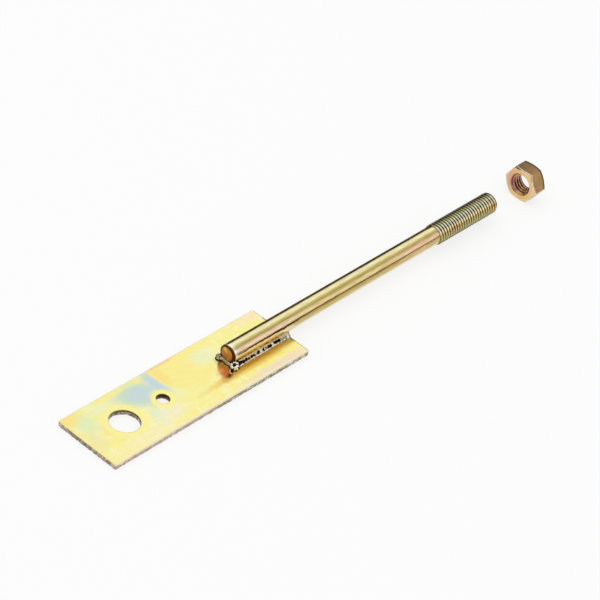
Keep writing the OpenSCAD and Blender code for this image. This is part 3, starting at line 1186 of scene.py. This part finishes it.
@dataclass
class HexNut:
    """The hexagon nut, chamfered at both ends, with its flats level above and below."""

    low: Vector
    high: Vector
    thread: MetricThread
    face_share: float = 0.95            # the flat end face's diameter, as a share of the width across flats
    chamfer_angle: float = 30
    corner_fillet: float = 0.5 * MM
    countersink: float = 0.7 * MM
    clearance: float = 0.05 * MM
    crest_radius: float = 5.12 * MM     # the tapped thread's crests
    mouth_relief: float = 0.6           # of the countersink
    face_edge: float = 0.06 * MM        # half the width of the rounded edge between face and chamfer
    edge_reliefs: tuple[float, float] = (0.8, 0.6)      # of that edge, on the face and on the chamfer: a painted highlight
    far_edge: float = CREVICE           # relief of the edge away from the rod: a dark outline of painted shade
    near_reach: tuple[float, float, float] = (0.10 * MM, 0.32 * MM, 0.55 * MM)
    far_reach: tuple[float, float, float] = (0.35 * MM, 0.90 * MM, 1.60 * MM)
    flat_steps: tuple[float, ...] = (0.2, 0.4, 0.6, 0.8, 1.0)
    fillet_steps: tuple[float, ...] = (0.4, 0.75, 1.0)
    mouth_rings: tuple[tuple[float, float], ...] = (    # out from the bore's mouth, and relief
        (0, 0.75), (0.12 * MM, 0.75), (0.3 * MM, PLAIN))
    cone_rings: tuple[tuple[float, float], ...] = (     # inside the flats, and where the depth is taken
        (0.35 * MM, 0.35 * MM), (0.18 * MM, 0.18 * MM), (0.03 * MM, 0))
    FACE_RINGS = 7                      # of a side's rings, those that bound its end face
    FINISHES = (NUT_FLATS, NUT_FACES, NUT_THREAD)
    FLATS, FACES, BORE = range(3)       # their places in that list

    @classmethod
    def from_frame(cls, thread: MetricThread) -> "HexNut":
        """Reads the nut's box. The thread is the rod's, so the nut runs on it."""
        low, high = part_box("hex_nut")
        return cls(low, high, thread)

    @property
    def apothem(self) -> float:
        """Half the width across the flats."""
        return (self.high.z - self.low.z) / 2

    @property
    def fillet_reach(self) -> float:
        """Angle from a corner to the end of its fillet."""
        along = (self.apothem - self.corner_fillet) * math.tan(TAU / 12)
        return TAU / 12 - math.atan2(along, self.apothem)

    def angles(self) -> list[float]:
        """Columns through one turn, closest together at the six corners.

        Returns:
            Their angles round the axis, rising.
        """
        reach = self.fillet_reach
        half = [reach * share for share in self.fillet_steps]
        half += [reach + (TAU / 12 - reach) * share for share in self.flat_steps]
        offsets = [0.0, *half, *[TAU / 6 - angle for angle in reversed(half[:-1])]]
        return [corner * TAU / 6 + offset for corner in range(6) for offset in offsets]

    def hexagon(self, angle: float) -> float:
        """The filleted hexagon's radius.

        Args:
            angle: Angle round the axis.

        Returns:
            The radius there.
        """
        from_corner = abs((angle + TAU / 12) % (TAU / 6) - TAU / 12)
        if from_corner >= self.fillet_reach:
            return self.apothem / math.cos(TAU / 12 - from_corner)
        centre = (self.apothem - self.corner_fillet) / math.cos(TAU / 12)
        across = centre * math.sin(from_corner)
        return centre * math.cos(from_corner) + math.sqrt(self.corner_fillet ** 2 - across ** 2)

    def bore_form(self, x: float, angle: float) -> tuple[float, float]:
        """Radius and relief of the tapped bore at a place.

        Args:
            x: Distance along the axis.
            angle: Angle round it.

        Returns:
            Radius, and relief from dark root to bright crest.
        """
        tapped = max(self.thread.radius(x, angle) + self.clearance, self.crest_radius)
        depth = min(x - self.low.x, self.high.x - x)
        mouth = self.thread.outer_radius + self.clearance + self.countersink - depth
        if mouth > tapped:
            return mouth, self.mouth_relief
        return tapped, 1 - self.thread.height(x, angle)

    def side(self, skin: Skin, angles: Sequence[float], face_x: float, inward: int, edge: float,
             reach: tuple[float, float, float]) -> list[list[BMVert]]:
        """One end face and its chamfer, from the bore's mouth out to the flats.

        Args:
            skin: The mesh that grows.
            angles: The columns' angles.
            face_x: Where the face is.
            inward: The sign of the direction into the nut.
            edge: The relief of the chamfer's outer edge.
            reach: How far that relief reaches along the flats, in full, by half and at all.

        Returns:
            The rings, the last of them on the flats.
        """
        mouth = self.thread.outer_radius + self.clearance + self.countersink
        face_radius = self.face_share * self.apothem
        slope = math.tan(math.radians(self.chamfer_angle))

        def face_ring(radius: float, relief: float, depth: float = 0) -> list[BMVert]:
            """A round ring at a depth below the face."""
            return skin.ring(self.thread.ring(face_x + inward * depth, radius, angles), relief)

        def cone_ring(inset: float, lift: float, below: float, relief: float) -> list[BMVert]:
            """A six-sided ring along the chamfer's cone.

            Args:
                inset: How far it lies inside the flats.
                lift: How far inside the flats its depth on the cone is taken.
                below: How far it lies below the cone, along the flats.
                relief: Its relief.

            Returns:
                The ring.
            """
            places = []
            for angle in angles:
                out = self.hexagon(angle)
                depth = (out - lift - face_radius) * slope + below
                places.append(self.thread.point(face_x + inward * depth, out - inset, angle))
            return skin.ring(places, relief)

        on_face, on_cone = self.edge_reliefs
        cone_reliefs = (on_cone, edge, edge)
        flat_reliefs = (edge, (edge + PLAIN) / 2, PLAIN)
        return [
            *[face_ring(mouth + out, relief) for out, relief in self.mouth_rings],
            face_ring(face_radius - self.mouth_rings[-1][0], PLAIN),
            face_ring(face_radius - self.face_edge, on_face),
            face_ring(face_radius + self.face_edge, on_cone, self.face_edge / 2),
            *[cone_ring(inset, lift, 0, relief)
              for (inset, lift), relief in zip(self.cone_rings, cone_reliefs)],
            *[cone_ring(0, 0, below, relief) for below, relief in zip(reach, flat_reliefs)],
        ]

    def build(self) -> Object:
        """Builds and dresses the nut.

        Returns:
            The nut's object.
        """
        skin = Skin()
        angles = self.angles()
        # The near end's chamfer edge gets a painted highlight, the far end's painted shade.
        near = self.side(skin, angles, self.low.x, 1, CREST, self.near_reach)
        far = self.side(skin, angles, self.high.x, -1, self.far_edge, self.far_reach)
        middle_x = (self.low.x + self.high.x) / 2
        middle = skin.ring([self.thread.point(middle_x, self.hexagon(angle), angle) for angle in angles])
        for rings in (near, far):
            skin.loft(rings[:self.FACE_RINGS], finish=self.FACES)
            skin.loft(rings[self.FACE_RINGS - 1:], finish=self.FLATS)
        skin.loft([near[-1], middle, far[-1]], finish=self.FLATS)
        self.thread.wind(skin, angles, self.low.x, self.high.x, self.bore_form, self.BORE)
        return place_piece("nut_with_thread", skin.to_mesh("nut_with_thread"), self.FINISHES, "hex_nut",
                           Body.NUT, Slot.NUT)


@dataclass(frozen=True)
class Droplet:
    """A bead of metal thrown out of the weld."""

    centre: Vector
    radii: Vector
    tone: Tone


@dataclass(frozen=True)
class Seam:
    """A row of small beads that follows the flash's lip along each side of the rod."""

    across: float                       # from the lip, away from the rod
    lift: float
    step: tuple[float, float]
    radius: tuple[float, float]
    tones: tuple[Tone, ...]             # to choose from at the cropped end
    last_tones: tuple[Tone, ...]        # and at the strap's end


@dataclass(frozen=True)
class Lump:
    """A lump of weld metal at one corner of the cropped end: a core under a crowd of beads."""

    side: Side
    ahead: float                        # of the cropped end
    across: float                       # from the rod's axis
    lift: float                         # from the strap's top face
    radius: float
    core: Tone
    tiers: tuple[tuple[int, float, Tone], ...]  # beads in a tier, and its angle from the crown
    crown: tuple[float, float, float] = (-0.50, -0.15, 0.85)
    core_shape: tuple[float, float, float] = (0.72, 0.72, 0.74)     # half axes, as shares of the radius
    bead_arm: float = 0.70              # how far the beads stand out, as a share of the radius
    bead_size: tuple[float, float] = (0.22, 0.36)
    bead_shift: float = 0.2             # how far a bead strays round its tier, radians
    shaded_foot: float = 0.75 * MM    # beads that lie lower than this take the darkest tone, as painted shade at the lump's foot


@dataclass(frozen=True)
class FlashTones:
    """How the flash's relief changes across it, away from its beads. Places are in millimetres out
    from the lip or up from the strap."""

    inside: float = 0.36                # between the lip and the rod
    outer_gain: float = 0.34            # what the lip's outer side has more
    outer_from: float = -0.3
    outer_reach: float = 0.4
    groove: float = 0.2                 # what the groove inside the lip has less
    groove_at: float = -0.55
    groove_reach: float = 0.22
    groove_top: float = 1.0
    tongue: float = 0.30
    bead_end: float = 1.5               # a bead's colour ends there, in its own radii
    bead_fade: float = 0.4
    facing_up: tuple[float, float] = (0.35, 0.8)    # painted light on a bead: level, and gain towards the top
    shade_share: float = 0.2            # painted shade: how far a bead's underside is darker
    contact: float = 0.45               # painted contact shadow: how much darker the foot is, where it meets the strap
    contact_reach: float = 0.28


@dataclass
class WeldFlash:
    """The ragged flash along both sides of the rod, the two lumps at its cropped end, and the tongue
    that runs on past the strap's edge."""

    high: Vector
    strap_top: float
    strap_end: float
    rod_start: float
    axis_z: float
    shank_radius: float
    sunk: float = 0.25 * MM             # how far the flash reaches into the strap and the rod
    foot_y: float = 6.9 * MM
    lip_y: float = 6.45 * MM
    lip_height: float = 0.6 * MM
    lip_round: float = 0.3 * MM         # how far its shoulder stands out
    lip_shoulder: float = 0.85          # the shoulder's height, as a share of the lip's
    lip_sway: float = 0.5               # how far the shoulder and the groove follow the raggedness
    groove_sway: float = 0.4
    foot_rise: float = 0.12 * MM
    groove_y: float = 5.75 * MM
    groove_height: float = 0.5 * MM
    feather: float = 0.05 * MM          # thickness of the flash's edge on the rod
    buried: tuple[float, ...] = (1.05, 0.5)     # its inner skin, as shares of the climb
    climb: float = 57                   # degrees up the rod's side, from its lowest line
    station_step: float = 0.5 * MM
    raggedness: float = 0.22 * MM
    ragged_size: float = 1.1 * MM
    ragged_apart: float = 5.0           # keeps the two sides' raggedness different
    overhang: float = 0.2 * MM          # how far the flash starts before the cropped end
    tongue_widths: tuple[tuple[float, float], ...] = (  # share of its length, and share of the width
        (0.12, 0.93), (0.28, 0.82), (0.48, 0.70), (0.72, 0.58), (0.98, 0.42))
    first_bead: float = 2.5 * MM        # from the cropped end
    last_bead: float = 0.6 * MM         # from the strap's end
    change: tuple[float, float] = (1.2, 0.25)   # how soon the last tones set in along the seam
    scatter_mm: float = 0.12
    bead_length: tuple[float, float] = (1.0, 1.8)       # half axes, as shares of the bead's radius
    bead_width: float = 0.8
    bead_height: float = 0.85
    heel_x: float = 1.35 * MM           # how far the heel's front stands out from the cropped end
    heel_margin: float = 1.4 * MM       # from the lip to the heel's last bead
    heel_beads: int = 11
    heel_place: tuple[float, float] = (0.25 * MM, 0.45 * MM)        # ahead of the end, and up
    heel_axes: tuple[float, float] = (0.70, 0.75)       # half axes in millimetres, along and across
    heel_rise: tuple[float, float] = (1.0, 1.35)        # and up
    crumb_size: tuple[float, float] = (0.26, 0.42)      # the scorched crumbs along the heel's foot
    crumb_scatter: tuple[float, float] = (0.15, 0.2)
    crumb_stretch: float = 1.4
    crumb_lift: float = 0.15 * MM
    tones: FlashTones = FlashTones()
    seams: tuple[Seam, ...] = (
        Seam(across=0.15 * MM, lift=0.25 * MM, step=(1.5 * MM, 2.8 * MM), radius=(0.40 * MM, 0.78 * MM),
             tones=(Tone.BRIGHT, Tone.BRIGHT, Tone.GREY), last_tones=(Tone.BRIGHT,)),
        Seam(across=-0.75 * MM, lift=0.60 * MM, step=(1.3 * MM, 2.0 * MM), radius=(0.36 * MM, 0.66 * MM),
             tones=(Tone.SCORCHED_AND_SHADED,), last_tones=(Tone.BRIGHT, Tone.GREY, Tone.BRIGHT, Tone.SCORCHED_AND_SHADED)))
    lumps: tuple[Lump, ...] = (
        Lump(Side.NEAR, ahead=0.2 * MM, across=6.05 * MM, lift=1.6 * MM, radius=2.45 * MM, core=Tone.SCORCHED_AND_SHADED,
             tiers=((2, 14, Tone.SCORCHED_AND_SHADED), (6, 52, Tone.BRIGHT), (8, 90, Tone.BRIGHT))),
        Lump(Side.NEAR, ahead=-3.6 * MM, across=5.7 * MM, lift=1.1 * MM, radius=1.5 * MM, core=Tone.SCORCHED_AND_SHADED,
             tiers=((3, 60, Tone.SCORCHED_AND_SHADED),)),
        Lump(Side.FAR, ahead=1.1 * MM, across=4.4 * MM, lift=0.6 * MM, radius=1.7 * MM, core=Tone.GREY,
             tiers=((9, 86, Tone.SCORCHED_AND_SHADED),)))
    neighbours: int = 8                 # droplets that may colour a place
    voxel: float = 0.17 * MM
    grit: float = 0.07 * MM
    grit_size: float = 0.7 * MM
    FINISHES = (SpatterFinish(),)

    @classmethod
    def from_frame(cls, rod: BoltRod) -> "WeldFlash":
        """Reads the weld's box, and takes the rod's and the strap's surfaces from theirs.

        Args:
            rod: The rod that is welded on.

        Returns:
            The flash, not yet built.
        """
        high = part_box("weld_bead")[1]
        strap_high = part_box("strap_plate")[1]
        return cls(high, strap_high.z, strap_high.x, rod.low.x, rod.thread.axis_z, rod.shank_radius)

    def section(self, x: float, narrowing: float) -> list[Vector]:
        """The flash's section at one place along the rod.

        Args:
            x: The place.
            narrowing: Share of its width that is left there.

        Returns:
            A closed ring of points across the rod.
        """
        ring = []
        for side in Side:
            spot = Vector((x / self.ragged_size, side.value * self.ragged_apart, 0))
            sway = noise.noise_vector(spot) * self.raggedness
            up = math.radians(self.climb) * narrowing
            inner = self.shank_radius - self.sunk
            top = self.strap_top
            sweep = [
                (self.foot_y + sway.x, top - self.sunk),
                (self.foot_y + sway.x, top + self.foot_rise),
                (self.lip_y + self.lip_round + sway.y * self.lip_sway,
                 top + self.lip_height * self.lip_shoulder + sway.z),
                (self.lip_y, top + self.lip_height + sway.z),
                (self.groove_y, top + self.groove_height + sway.z * self.groove_sway),
                (self.shank_radius * math.sin(up) + self.feather,
                 self.axis_z - self.shank_radius * math.cos(up)),
                *[(inner * math.sin(up * share), self.axis_z - inner * math.cos(up * share))
                  for share in self.buried],
            ]
            points = []
            for y, z in sweep:
                width = narrowing if z < self.axis_z else 1
                points.append(Vector((x, side.value * y * width, z)))
            ring += points if side is Side.NEAR else list(reversed(points))
        return ring

    def run(self, skin: Skin) -> None:
        """The flash along the rod and its tongue past the strap's edge.

        Args:
            skin: The mesh that grows.
        """
        start = self.rod_start - self.overhang
        count = round((self.strap_end - start) / self.station_step)
        stations = [(start + (self.strap_end - start) * i / count, 1.0) for i in range(count + 1)]
        tongue = self.high.x - self.strap_end
        stations += [(self.strap_end + tongue * share, width) for share, width in self.tongue_widths]
        rings = [skin.ring(self.section(x, width)) for x, width in stations]
        skin.loft(rings)
        for ring in (rings[0], rings[-1]):
            skin.fan(ring, sum((vert.co for vert in ring), Vector()) / len(ring))

    def droplets(self) -> list[Droplet]:
        """Rows of beads along the lips, lumps at the two corners, and the heel under the cropped end.

        Returns:
            The droplets, the same ones in each run.
        """
        draw = random.Random(SEED)
        drops = []
        for side in Side:
            for seam in self.seams:
                x = self.rod_start + self.first_bead
                while x < self.strap_end - self.last_bead:
                    share = (x - self.rod_start) / (self.strap_end - self.rod_start)
                    late = draw.random() < share * self.change[0] - self.change[1]
                    radius = draw.uniform(*seam.radius)
                    y = self.lip_y + seam.across + draw.uniform(-self.scatter_mm, self.scatter_mm) * MM
                    centre = Vector((x, side.value * y, self.strap_top + seam.lift))
                    length = radius * draw.uniform(*self.bead_length)
                    axes = Vector((length, radius * self.bead_width, radius * self.bead_height))
                    drops.append(Droplet(centre, axes, draw.choice(seam.last_tones if late else seam.tones)))
                    x += draw.uniform(*seam.step)
        for lump in self.lumps:
            drops += self.lump(lump, draw)
        return drops + self.heel(draw)

    def lump(self, lump: Lump, draw: random.Random) -> list[Droplet]:
        """One lump as a core with tiers of small beads on it.

        Args:
            lump: Its place and size.
            draw: The source of the beads' sizes and tones.

        Returns:
            The droplets.
        """
        core = Vector((self.rod_start - lump.ahead, lump.side.value * lump.across,
                       self.strap_top + lump.lift))
        lean = Vector((0, 0, 1)).rotation_difference(Vector(lump.crown))
        drops = [Droplet(core, Vector(lump.core_shape) * lump.radius, lump.core)]
        for count, from_crown, tone in lump.tiers:
            tilt = math.radians(from_crown)
            for i in range(count):
                turn = TAU * i / count + draw.uniform(-lump.bead_shift, lump.bead_shift)
                arm = Vector((math.cos(turn) * math.sin(tilt), math.sin(turn) * math.sin(tilt),
                              math.cos(tilt)))
                tip = core + lean @ arm * lump.radius * lump.bead_arm
                size = lump.radius * draw.uniform(*lump.bead_size)
                # Low beads take the darkest tone: painted shade at the lump's foot.
                low = tip.z - self.strap_top < lump.shaded_foot
                drops.append(Droplet(tip, Vector((size, size, size)), Tone.SCORCHED_AND_SHADED if low else tone))
        return drops

    def heel(self, draw: random.Random) -> list[Droplet]:
        """The low slope in front of the cropped end, and the scorched line along its foot.

        Args:
            draw: The source of the beads' sizes and places.

        Returns:
            The droplets.
        """
        drops = []
        span = self.lip_y - self.heel_margin
        ahead, up = self.heel_place
        for i in range(self.heel_beads):
            y = span * (2 * i / (self.heel_beads - 1) - 1)
            axes = Vector((*self.heel_axes, draw.uniform(*self.heel_rise))) * MM
            drops.append(Droplet(Vector((self.rod_start - ahead, y, self.strap_top + up)), axes, Tone.OLIVE))
            size = draw.uniform(*self.crumb_size) * MM
            along, across = (draw.uniform(-reach, reach) * MM for reach in self.crumb_scatter)
            place = Vector((self.rod_start - self.heel_x + along, y + across,
                            self.strap_top + self.crumb_lift))
            drops.append(Droplet(place, Vector((size, size * self.crumb_stretch, size)), Tone.SCORCHED_AND_SHADED))
        return drops

    def relief(self, point: Vector, normal: Vector, drops: list[Droplet], tree: KDTree) -> float:
        """How scorched or bright the flash is at a place, with painted light on the beads' tops, painted
        shade under them and a painted contact shadow at the foot.

        Args:
            point: The place.
            normal: The surface's direction there.
            drops: All the droplets.
            tree: Their centres, to search by distance.

        Returns:
            The relief, from 0 in a pit to 1 on a bright bead.
        """
        tones = self.tones
        height = (point.z - self.strap_top) / MM
        across = (abs(point.y) - self.lip_y) / MM
        base = tones.inside + tones.outer_gain * clamp((across - tones.outer_from) / tones.outer_reach)
        if height < tones.groove_top:
            base -= tones.groove * bell((across - tones.groove_at) / tones.groove_reach)
        if point.x > self.strap_end:
            base = tones.tongue
        found = tree.find_n(point, self.neighbours)
        distance, drop = min(((gap / max(drops[index].radii), drops[index]) for _, index, gap in found),
                             key=lambda pair: pair[0])
        near = clamp((tones.bead_end - distance) / tones.bead_fade)
        # Painted light on the beads' tops and painted shade under them.
        top = clamp(tones.facing_up[0] + tones.facing_up[1] * normal.z)
        own = drop.tone.value * (1 - tones.shade_share + tones.shade_share * top)
        value = base + (own - base) * near
        # Painted contact shadow where the flash meets the strap.
        contact = bell(height / tones.contact_reach) if height > 0 else 1
        return clamp(value - tones.contact * contact)

    def build(self) -> Object:
        """Builds the flash as one skin of metal, roughens it and dresses it.

        Returns:
            The flash's object.
        """
        skin = Skin()
        self.run(skin)
        drops = self.droplets()
        for drop in drops:
            skin.ball(drop.centre, drop.radii)
        mesh = self.fuse(skin.to_mesh("weld_flash"))
        tree = KDTree(len(drops))
        for index, drop in enumerate(drops):
            tree.insert(drop.centre, index)
        tree.balance()
        relief = mesh.attributes.new(RELIEF, "FLOAT", "POINT")
        for index, vertex in enumerate(mesh.vertices):
            relief.data[index].value = self.relief(vertex.co, vertex.normal, drops, tree)
        shifts = [vertex.normal * noise.noise(vertex.co / self.grit_size) * self.grit
                  for vertex in mesh.vertices]
        for vertex, shift in zip(mesh.vertices, shifts):
            vertex.co += shift
        mesh.shade_smooth()
        return place_piece("weld_flash", mesh, self.FINISHES, "weld_bead", Body.STRAP_BOLT, Slot.WELD)

    def fuse(self, loose: Mesh) -> Mesh:
        """Fuses overlapping closed shapes into one skin.

        Args:
            loose: The mesh of the shapes.

        Returns:
            The fused mesh.
        """
        holder = bpy.data.objects.new("weld_flash_shapes", loose)
        bpy.context.scene.collection.objects.link(holder)
        remesh = holder.modifiers.new("fuse", "REMESH")
        remesh.mode = "VOXEL"
        remesh.voxel_size = self.voxel
        depsgraph = bpy.context.evaluated_depsgraph_get()
        mesh = bpy.data.meshes.new_from_object(holder.evaluated_get(depsgraph))
        bpy.data.objects.remove(holder)
        return mesh


@dataclass(frozen=True)
class PhotoCamera:
    """The camera that took the photograph, worked out from the strap's edges, the holes and the rod."""

    place: tuple[float, float, float] = (-0.882478, -0.697285, 0.996733)
    azimuth: float = 34.683             # degrees from +X towards +Y
    elevation: float = 38.626           # degrees that it looks down
    roll: float = 12.032
    focal_pixels: float = 3071.234
    image_pixels: int = 600
    sensor_mm: float = 36.0

    def build(self) -> None:
        """Adds the camera to the scene."""
        azimuth, elevation, roll = (math.radians(a) for a in (self.azimuth, self.elevation, self.roll))
        view = Vector((math.cos(elevation) * math.cos(azimuth), math.cos(elevation) * math.sin(azimuth),
                       -math.sin(elevation)))
        level = view.cross(Vector((0, 0, 1))).normalized()
        upright = level.cross(view)
        right = level * math.cos(roll) + upright * math.sin(roll)
        up = upright * math.cos(roll) - level * math.sin(roll)
        data = bpy.data.cameras.new("photo_camera")
        data.sensor_width = self.sensor_mm
        data.lens = self.focal_pixels * self.sensor_mm / self.image_pixels
        camera = bpy.data.objects.new("photo_camera", data)
        turn = Matrix((right, up, -view)).transposed().to_4x4()
        camera.matrix_world = Matrix.Translation(self.place) @ turn
        bpy.context.scene.collection.objects.link(camera)
        bpy.context.scene.camera = camera


@dataclass(frozen=True)
class Flag:
    """A dark cloth card that stands round the part. Only metal sees it, as a fine dark line."""

    name: str
    azimuth: tuple[float, float]        # degrees from +X towards +Y
    elevation: tuple[float, float]      # degrees above the floor
    shade: str
    distance: float = 2.4
    steps: int = 24


@dataclass
class Studio:
    """A white paper floor under plain soft light, inside a dome of cloth that only metal sees. The
    dome is white with a grey seam overhead, and dark cards stand low round it: together they draw
    the lines that polished round bar shows in a studio."""

    floor_radius: float = 3.5
    floor_steps: int = 64
    dome_steps: tuple[int, int] = (64, 32)      # round it and up it
    lamp_place: tuple[float, float, float] = (-0.1, 0.3, 2.0)
    lamp_size: float = 1.9
    lamp_watts: float = 10
    paper: str = "#FAFAFA"
    paper_glow: float = 0.78            # share of the floor that the camera sees as plain white
    soft_level: float = 0.95            # the room's light on matt surfaces
    dome_radius: float = 3.0
    seam: tuple[tuple[float, str], ...] = (
        (-27, "#FFFFFF"), (-10, "#F8F8F8"), (4, "#D6D6D6"), (22, "#C6C6C6"), (38, "#E2E2E2"), (54, "#FFFFFF"))
    flags: tuple[Flag, ...] = (
        Flag("far_flag", (20, 145), (-1, 17), "#141414"),
        Flag("tail_flag", (190, 204), (-1, 12), "#101010"),
        Flag("near_flag", (-85, -15), (-1, 8), "#70522A"))

    def build(self) -> None:
        """Adds the floor, the dome, the room's light and the lamp."""
        self.floor()
        self.dome()
        for flag in self.flags:
            self.card(flag)
        self.world()
        self.lamp()
        bpy.context.scene.view_settings.view_transform = "Standard"

    def seen(self, tree: NodeTree) -> NodeSocket:
        """1 for a ray from the camera, or one that metal or glass sends on, and 0 for the rest.

        Args:
            tree: The node tree of the floor's material or of the world.

        Returns:
            The value.
        """
        path = add_node(tree, "ShaderNodeLightPath")
        direct = add_node(tree, "ShaderNodeMath", operation="MAXIMUM", links={
            0: path.outputs["Is Camera Ray"], 1: path.outputs["Is Glossy Ray"]})
        return add_node(tree, "ShaderNodeMath", operation="MAXIMUM", links={
            0: direct.outputs[0], 1: path.outputs["Is Transmission Ray"]}).outputs[0]

    def floor(self) -> None:
        """A sheet of paper that touches the strap's free end and clears the nut at each end of its travel."""
        strap_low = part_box("strap_plate")[0]
        nut_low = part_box("hex_nut")[0]
        travel = frame["record"]["behaviour"]["joints"][0]["range_m"][1]
        slope = (strap_low.z - nut_low.z) / (nut_low.x - travel - strap_low.x)
        skin = bmesh.new()
        turns = [TAU * i / self.floor_steps for i in range(self.floor_steps)]
        rim = []
        for turn in turns:
            x, y = self.floor_radius * math.cos(turn), self.floor_radius * math.sin(turn)
            rim.append(skin.verts.new((x, y, strap_low.z - slope * (x - strap_low.x))))
        skin.faces.new(rim)
        material, tree = new_tree("matt_white_paper")
        matt = add_node(tree, "ShaderNodeBsdfDiffuse", settings={"Color": linear(self.paper)})
        glow = add_node(tree, "ShaderNodeEmission")
        share = add_node(tree, "ShaderNodeMath", operation="MULTIPLY", settings={1: self.paper_glow},
                         links={0: self.seen(tree)})
        mixed = add_node(tree, "ShaderNodeMixShader", links={
            0: share.outputs[0], 1: matt.outputs[0], 2: glow.outputs[0]})
        add_node(tree, "ShaderNodeOutputMaterial", links={"Surface": mixed.outputs[0]})
        self.stand("paper_floor", skin, material)

    def stand(self, name: str, skin: BMesh, material: Material) -> Object:
        """Puts a piece of the studio in the scene.

        Args:
            name: Its name.
            skin: Its mesh, which is used up.
            material: Its material.

        Returns:
            The new object.
        """
        mesh = bpy.data.meshes.new(name)
        skin.to_mesh(mesh)
        skin.free()
        mesh.materials.append(material)
        thing = bpy.data.objects.new(name, mesh)
        bpy.context.scene.collection.objects.link(thing)
        return thing

    def hide_from_all_but_metal(self, thing: Object) -> None:
        """Keeps a piece of the studio out of the camera's view, the soft light and the shadows.

        Args:
            thing: The piece.
        """
        thing.visible_camera = False
        thing.visible_diffuse = False
        thing.visible_shadow = False

    def dome(self) -> None:
        """The cloth dome that metal mirrors."""
        skin = bmesh.new()
        around, upward = self.dome_steps
        bmesh.ops.create_uvsphere(skin, u_segments=around, v_segments=upward, radius=self.dome_radius)
        material, tree = new_tree("backlit_cloth")
        place = add_node(tree, "ShaderNodeTexCoord").outputs["Object"]
        parts = add_node(tree, "ShaderNodeSeparateXYZ", links={0: place})
        nearness = add_node(tree, "ShaderNodeMath", operation="MULTIPLY", settings={1: Side.NEAR.value},
                            links={0: parts.outputs["Y"]})
        angle = add_node(tree, "ShaderNodeMath", operation="ARCTAN2", links={
            0: nearness.outputs[0], 1: parts.outputs["Z"]})
        turn = add_node(tree, "ShaderNodeMapRange", links={"Value": angle.outputs[0]}, settings={
            "From Min": -math.pi / 2, "From Max": math.pi / 2})
        seam = add_node(tree, "ShaderNodeValToRGB", links={"Fac": turn.outputs[0]}, stops=[
            (0.5 + degrees / (TURN_DEGREES / 2), grey) for degrees, grey in self.seam])
        glow = add_node(tree, "ShaderNodeEmission", links={"Color": seam.outputs[0]})
        add_node(tree, "ShaderNodeOutputMaterial", links={"Surface": glow.outputs[0]})
        self.hide_from_all_but_metal(self.stand("cloth_dome", skin, material))

    def card(self, flag: Flag) -> None:
        """Stands up one dark card, bent round the part.

        Args:
            flag: Its place, size and shade.
        """
        skin = bmesh.new()
        edges = []
        for step in range(flag.steps + 1):
            share = step / flag.steps
            turn = math.radians(flag.azimuth[0] + (flag.azimuth[1] - flag.azimuth[0]) * share)
            edges.append([skin.verts.new((
                flag.distance * math.cos(turn), flag.distance * math.sin(turn),
                flag.distance * math.tan(math.radians(rise)))) for rise in flag.elevation])
        for (low, high), (next_low, next_high) in zip(edges, edges[1:]):
            skin.faces.new((low, next_low, next_high, high))
        material, tree = new_tree(flag.name + "_cloth")
        glow = add_node(tree, "ShaderNodeEmission", settings={"Color": linear(flag.shade)})
        add_node(tree, "ShaderNodeOutputMaterial", links={"Surface": glow.outputs[0]})
        self.hide_from_all_but_metal(self.stand(flag.name, skin, material))

    def world(self) -> None:
        """White where the camera, metal or glass sees it, and a plain soft level on matt surfaces."""
        world = bpy.data.worlds.new("white_room")
        bpy.context.scene.world = world
        world.use_nodes = True
        tree = world.node_tree
        tree.nodes.clear()
        strength = add_node(tree, "ShaderNodeMapRange", links={"Value": self.seen(tree)}, settings={
            "To Min": self.soft_level, "To Max": 1.0})
        room = add_node(tree, "ShaderNodeBackground", links={"Strength": strength.outputs[0]})
        add_node(tree, "ShaderNodeOutputWorld", links={"Surface": room.outputs[0]})

    def lamp(self) -> None:
        """Hangs a square softbox that faces the middle of the part."""
        data = bpy.data.lights.new("overhead_softbox", "AREA")
        data.size = self.lamp_size
        data.energy = self.lamp_watts
        lamp = bpy.data.objects.new("overhead_softbox", data)
        place = Vector(self.lamp_place)
        middle = (CAD_BOX[0] + CAD_BOX[1]) / 2
        lamp.location = place
        lamp.rotation_euler = (middle - place).to_track_quat("-Z", "Y").to_euler()
        lamp.visible_glossy = False     # metal mirrors the dome in its place
        bpy.context.scene.collection.objects.link(lamp)


def main() -> None:
    """Builds the studio and the four pieces."""
    logging.basicConfig(level=logging.INFO, format="%(name)s %(message)s")
    noise.seed_set(SEED)        # Blender seeds its noise vectors by the clock otherwise
    PhotoCamera().build()
    Studio().build()
    StrapSheet.from_frame().build()
    rod = BoltRod.from_frame()
    rod.build()
    WeldFlash.from_frame(rod).build()
    HexNut.from_frame(rod.thread).build()


if __name__ == "__main__":
    main()
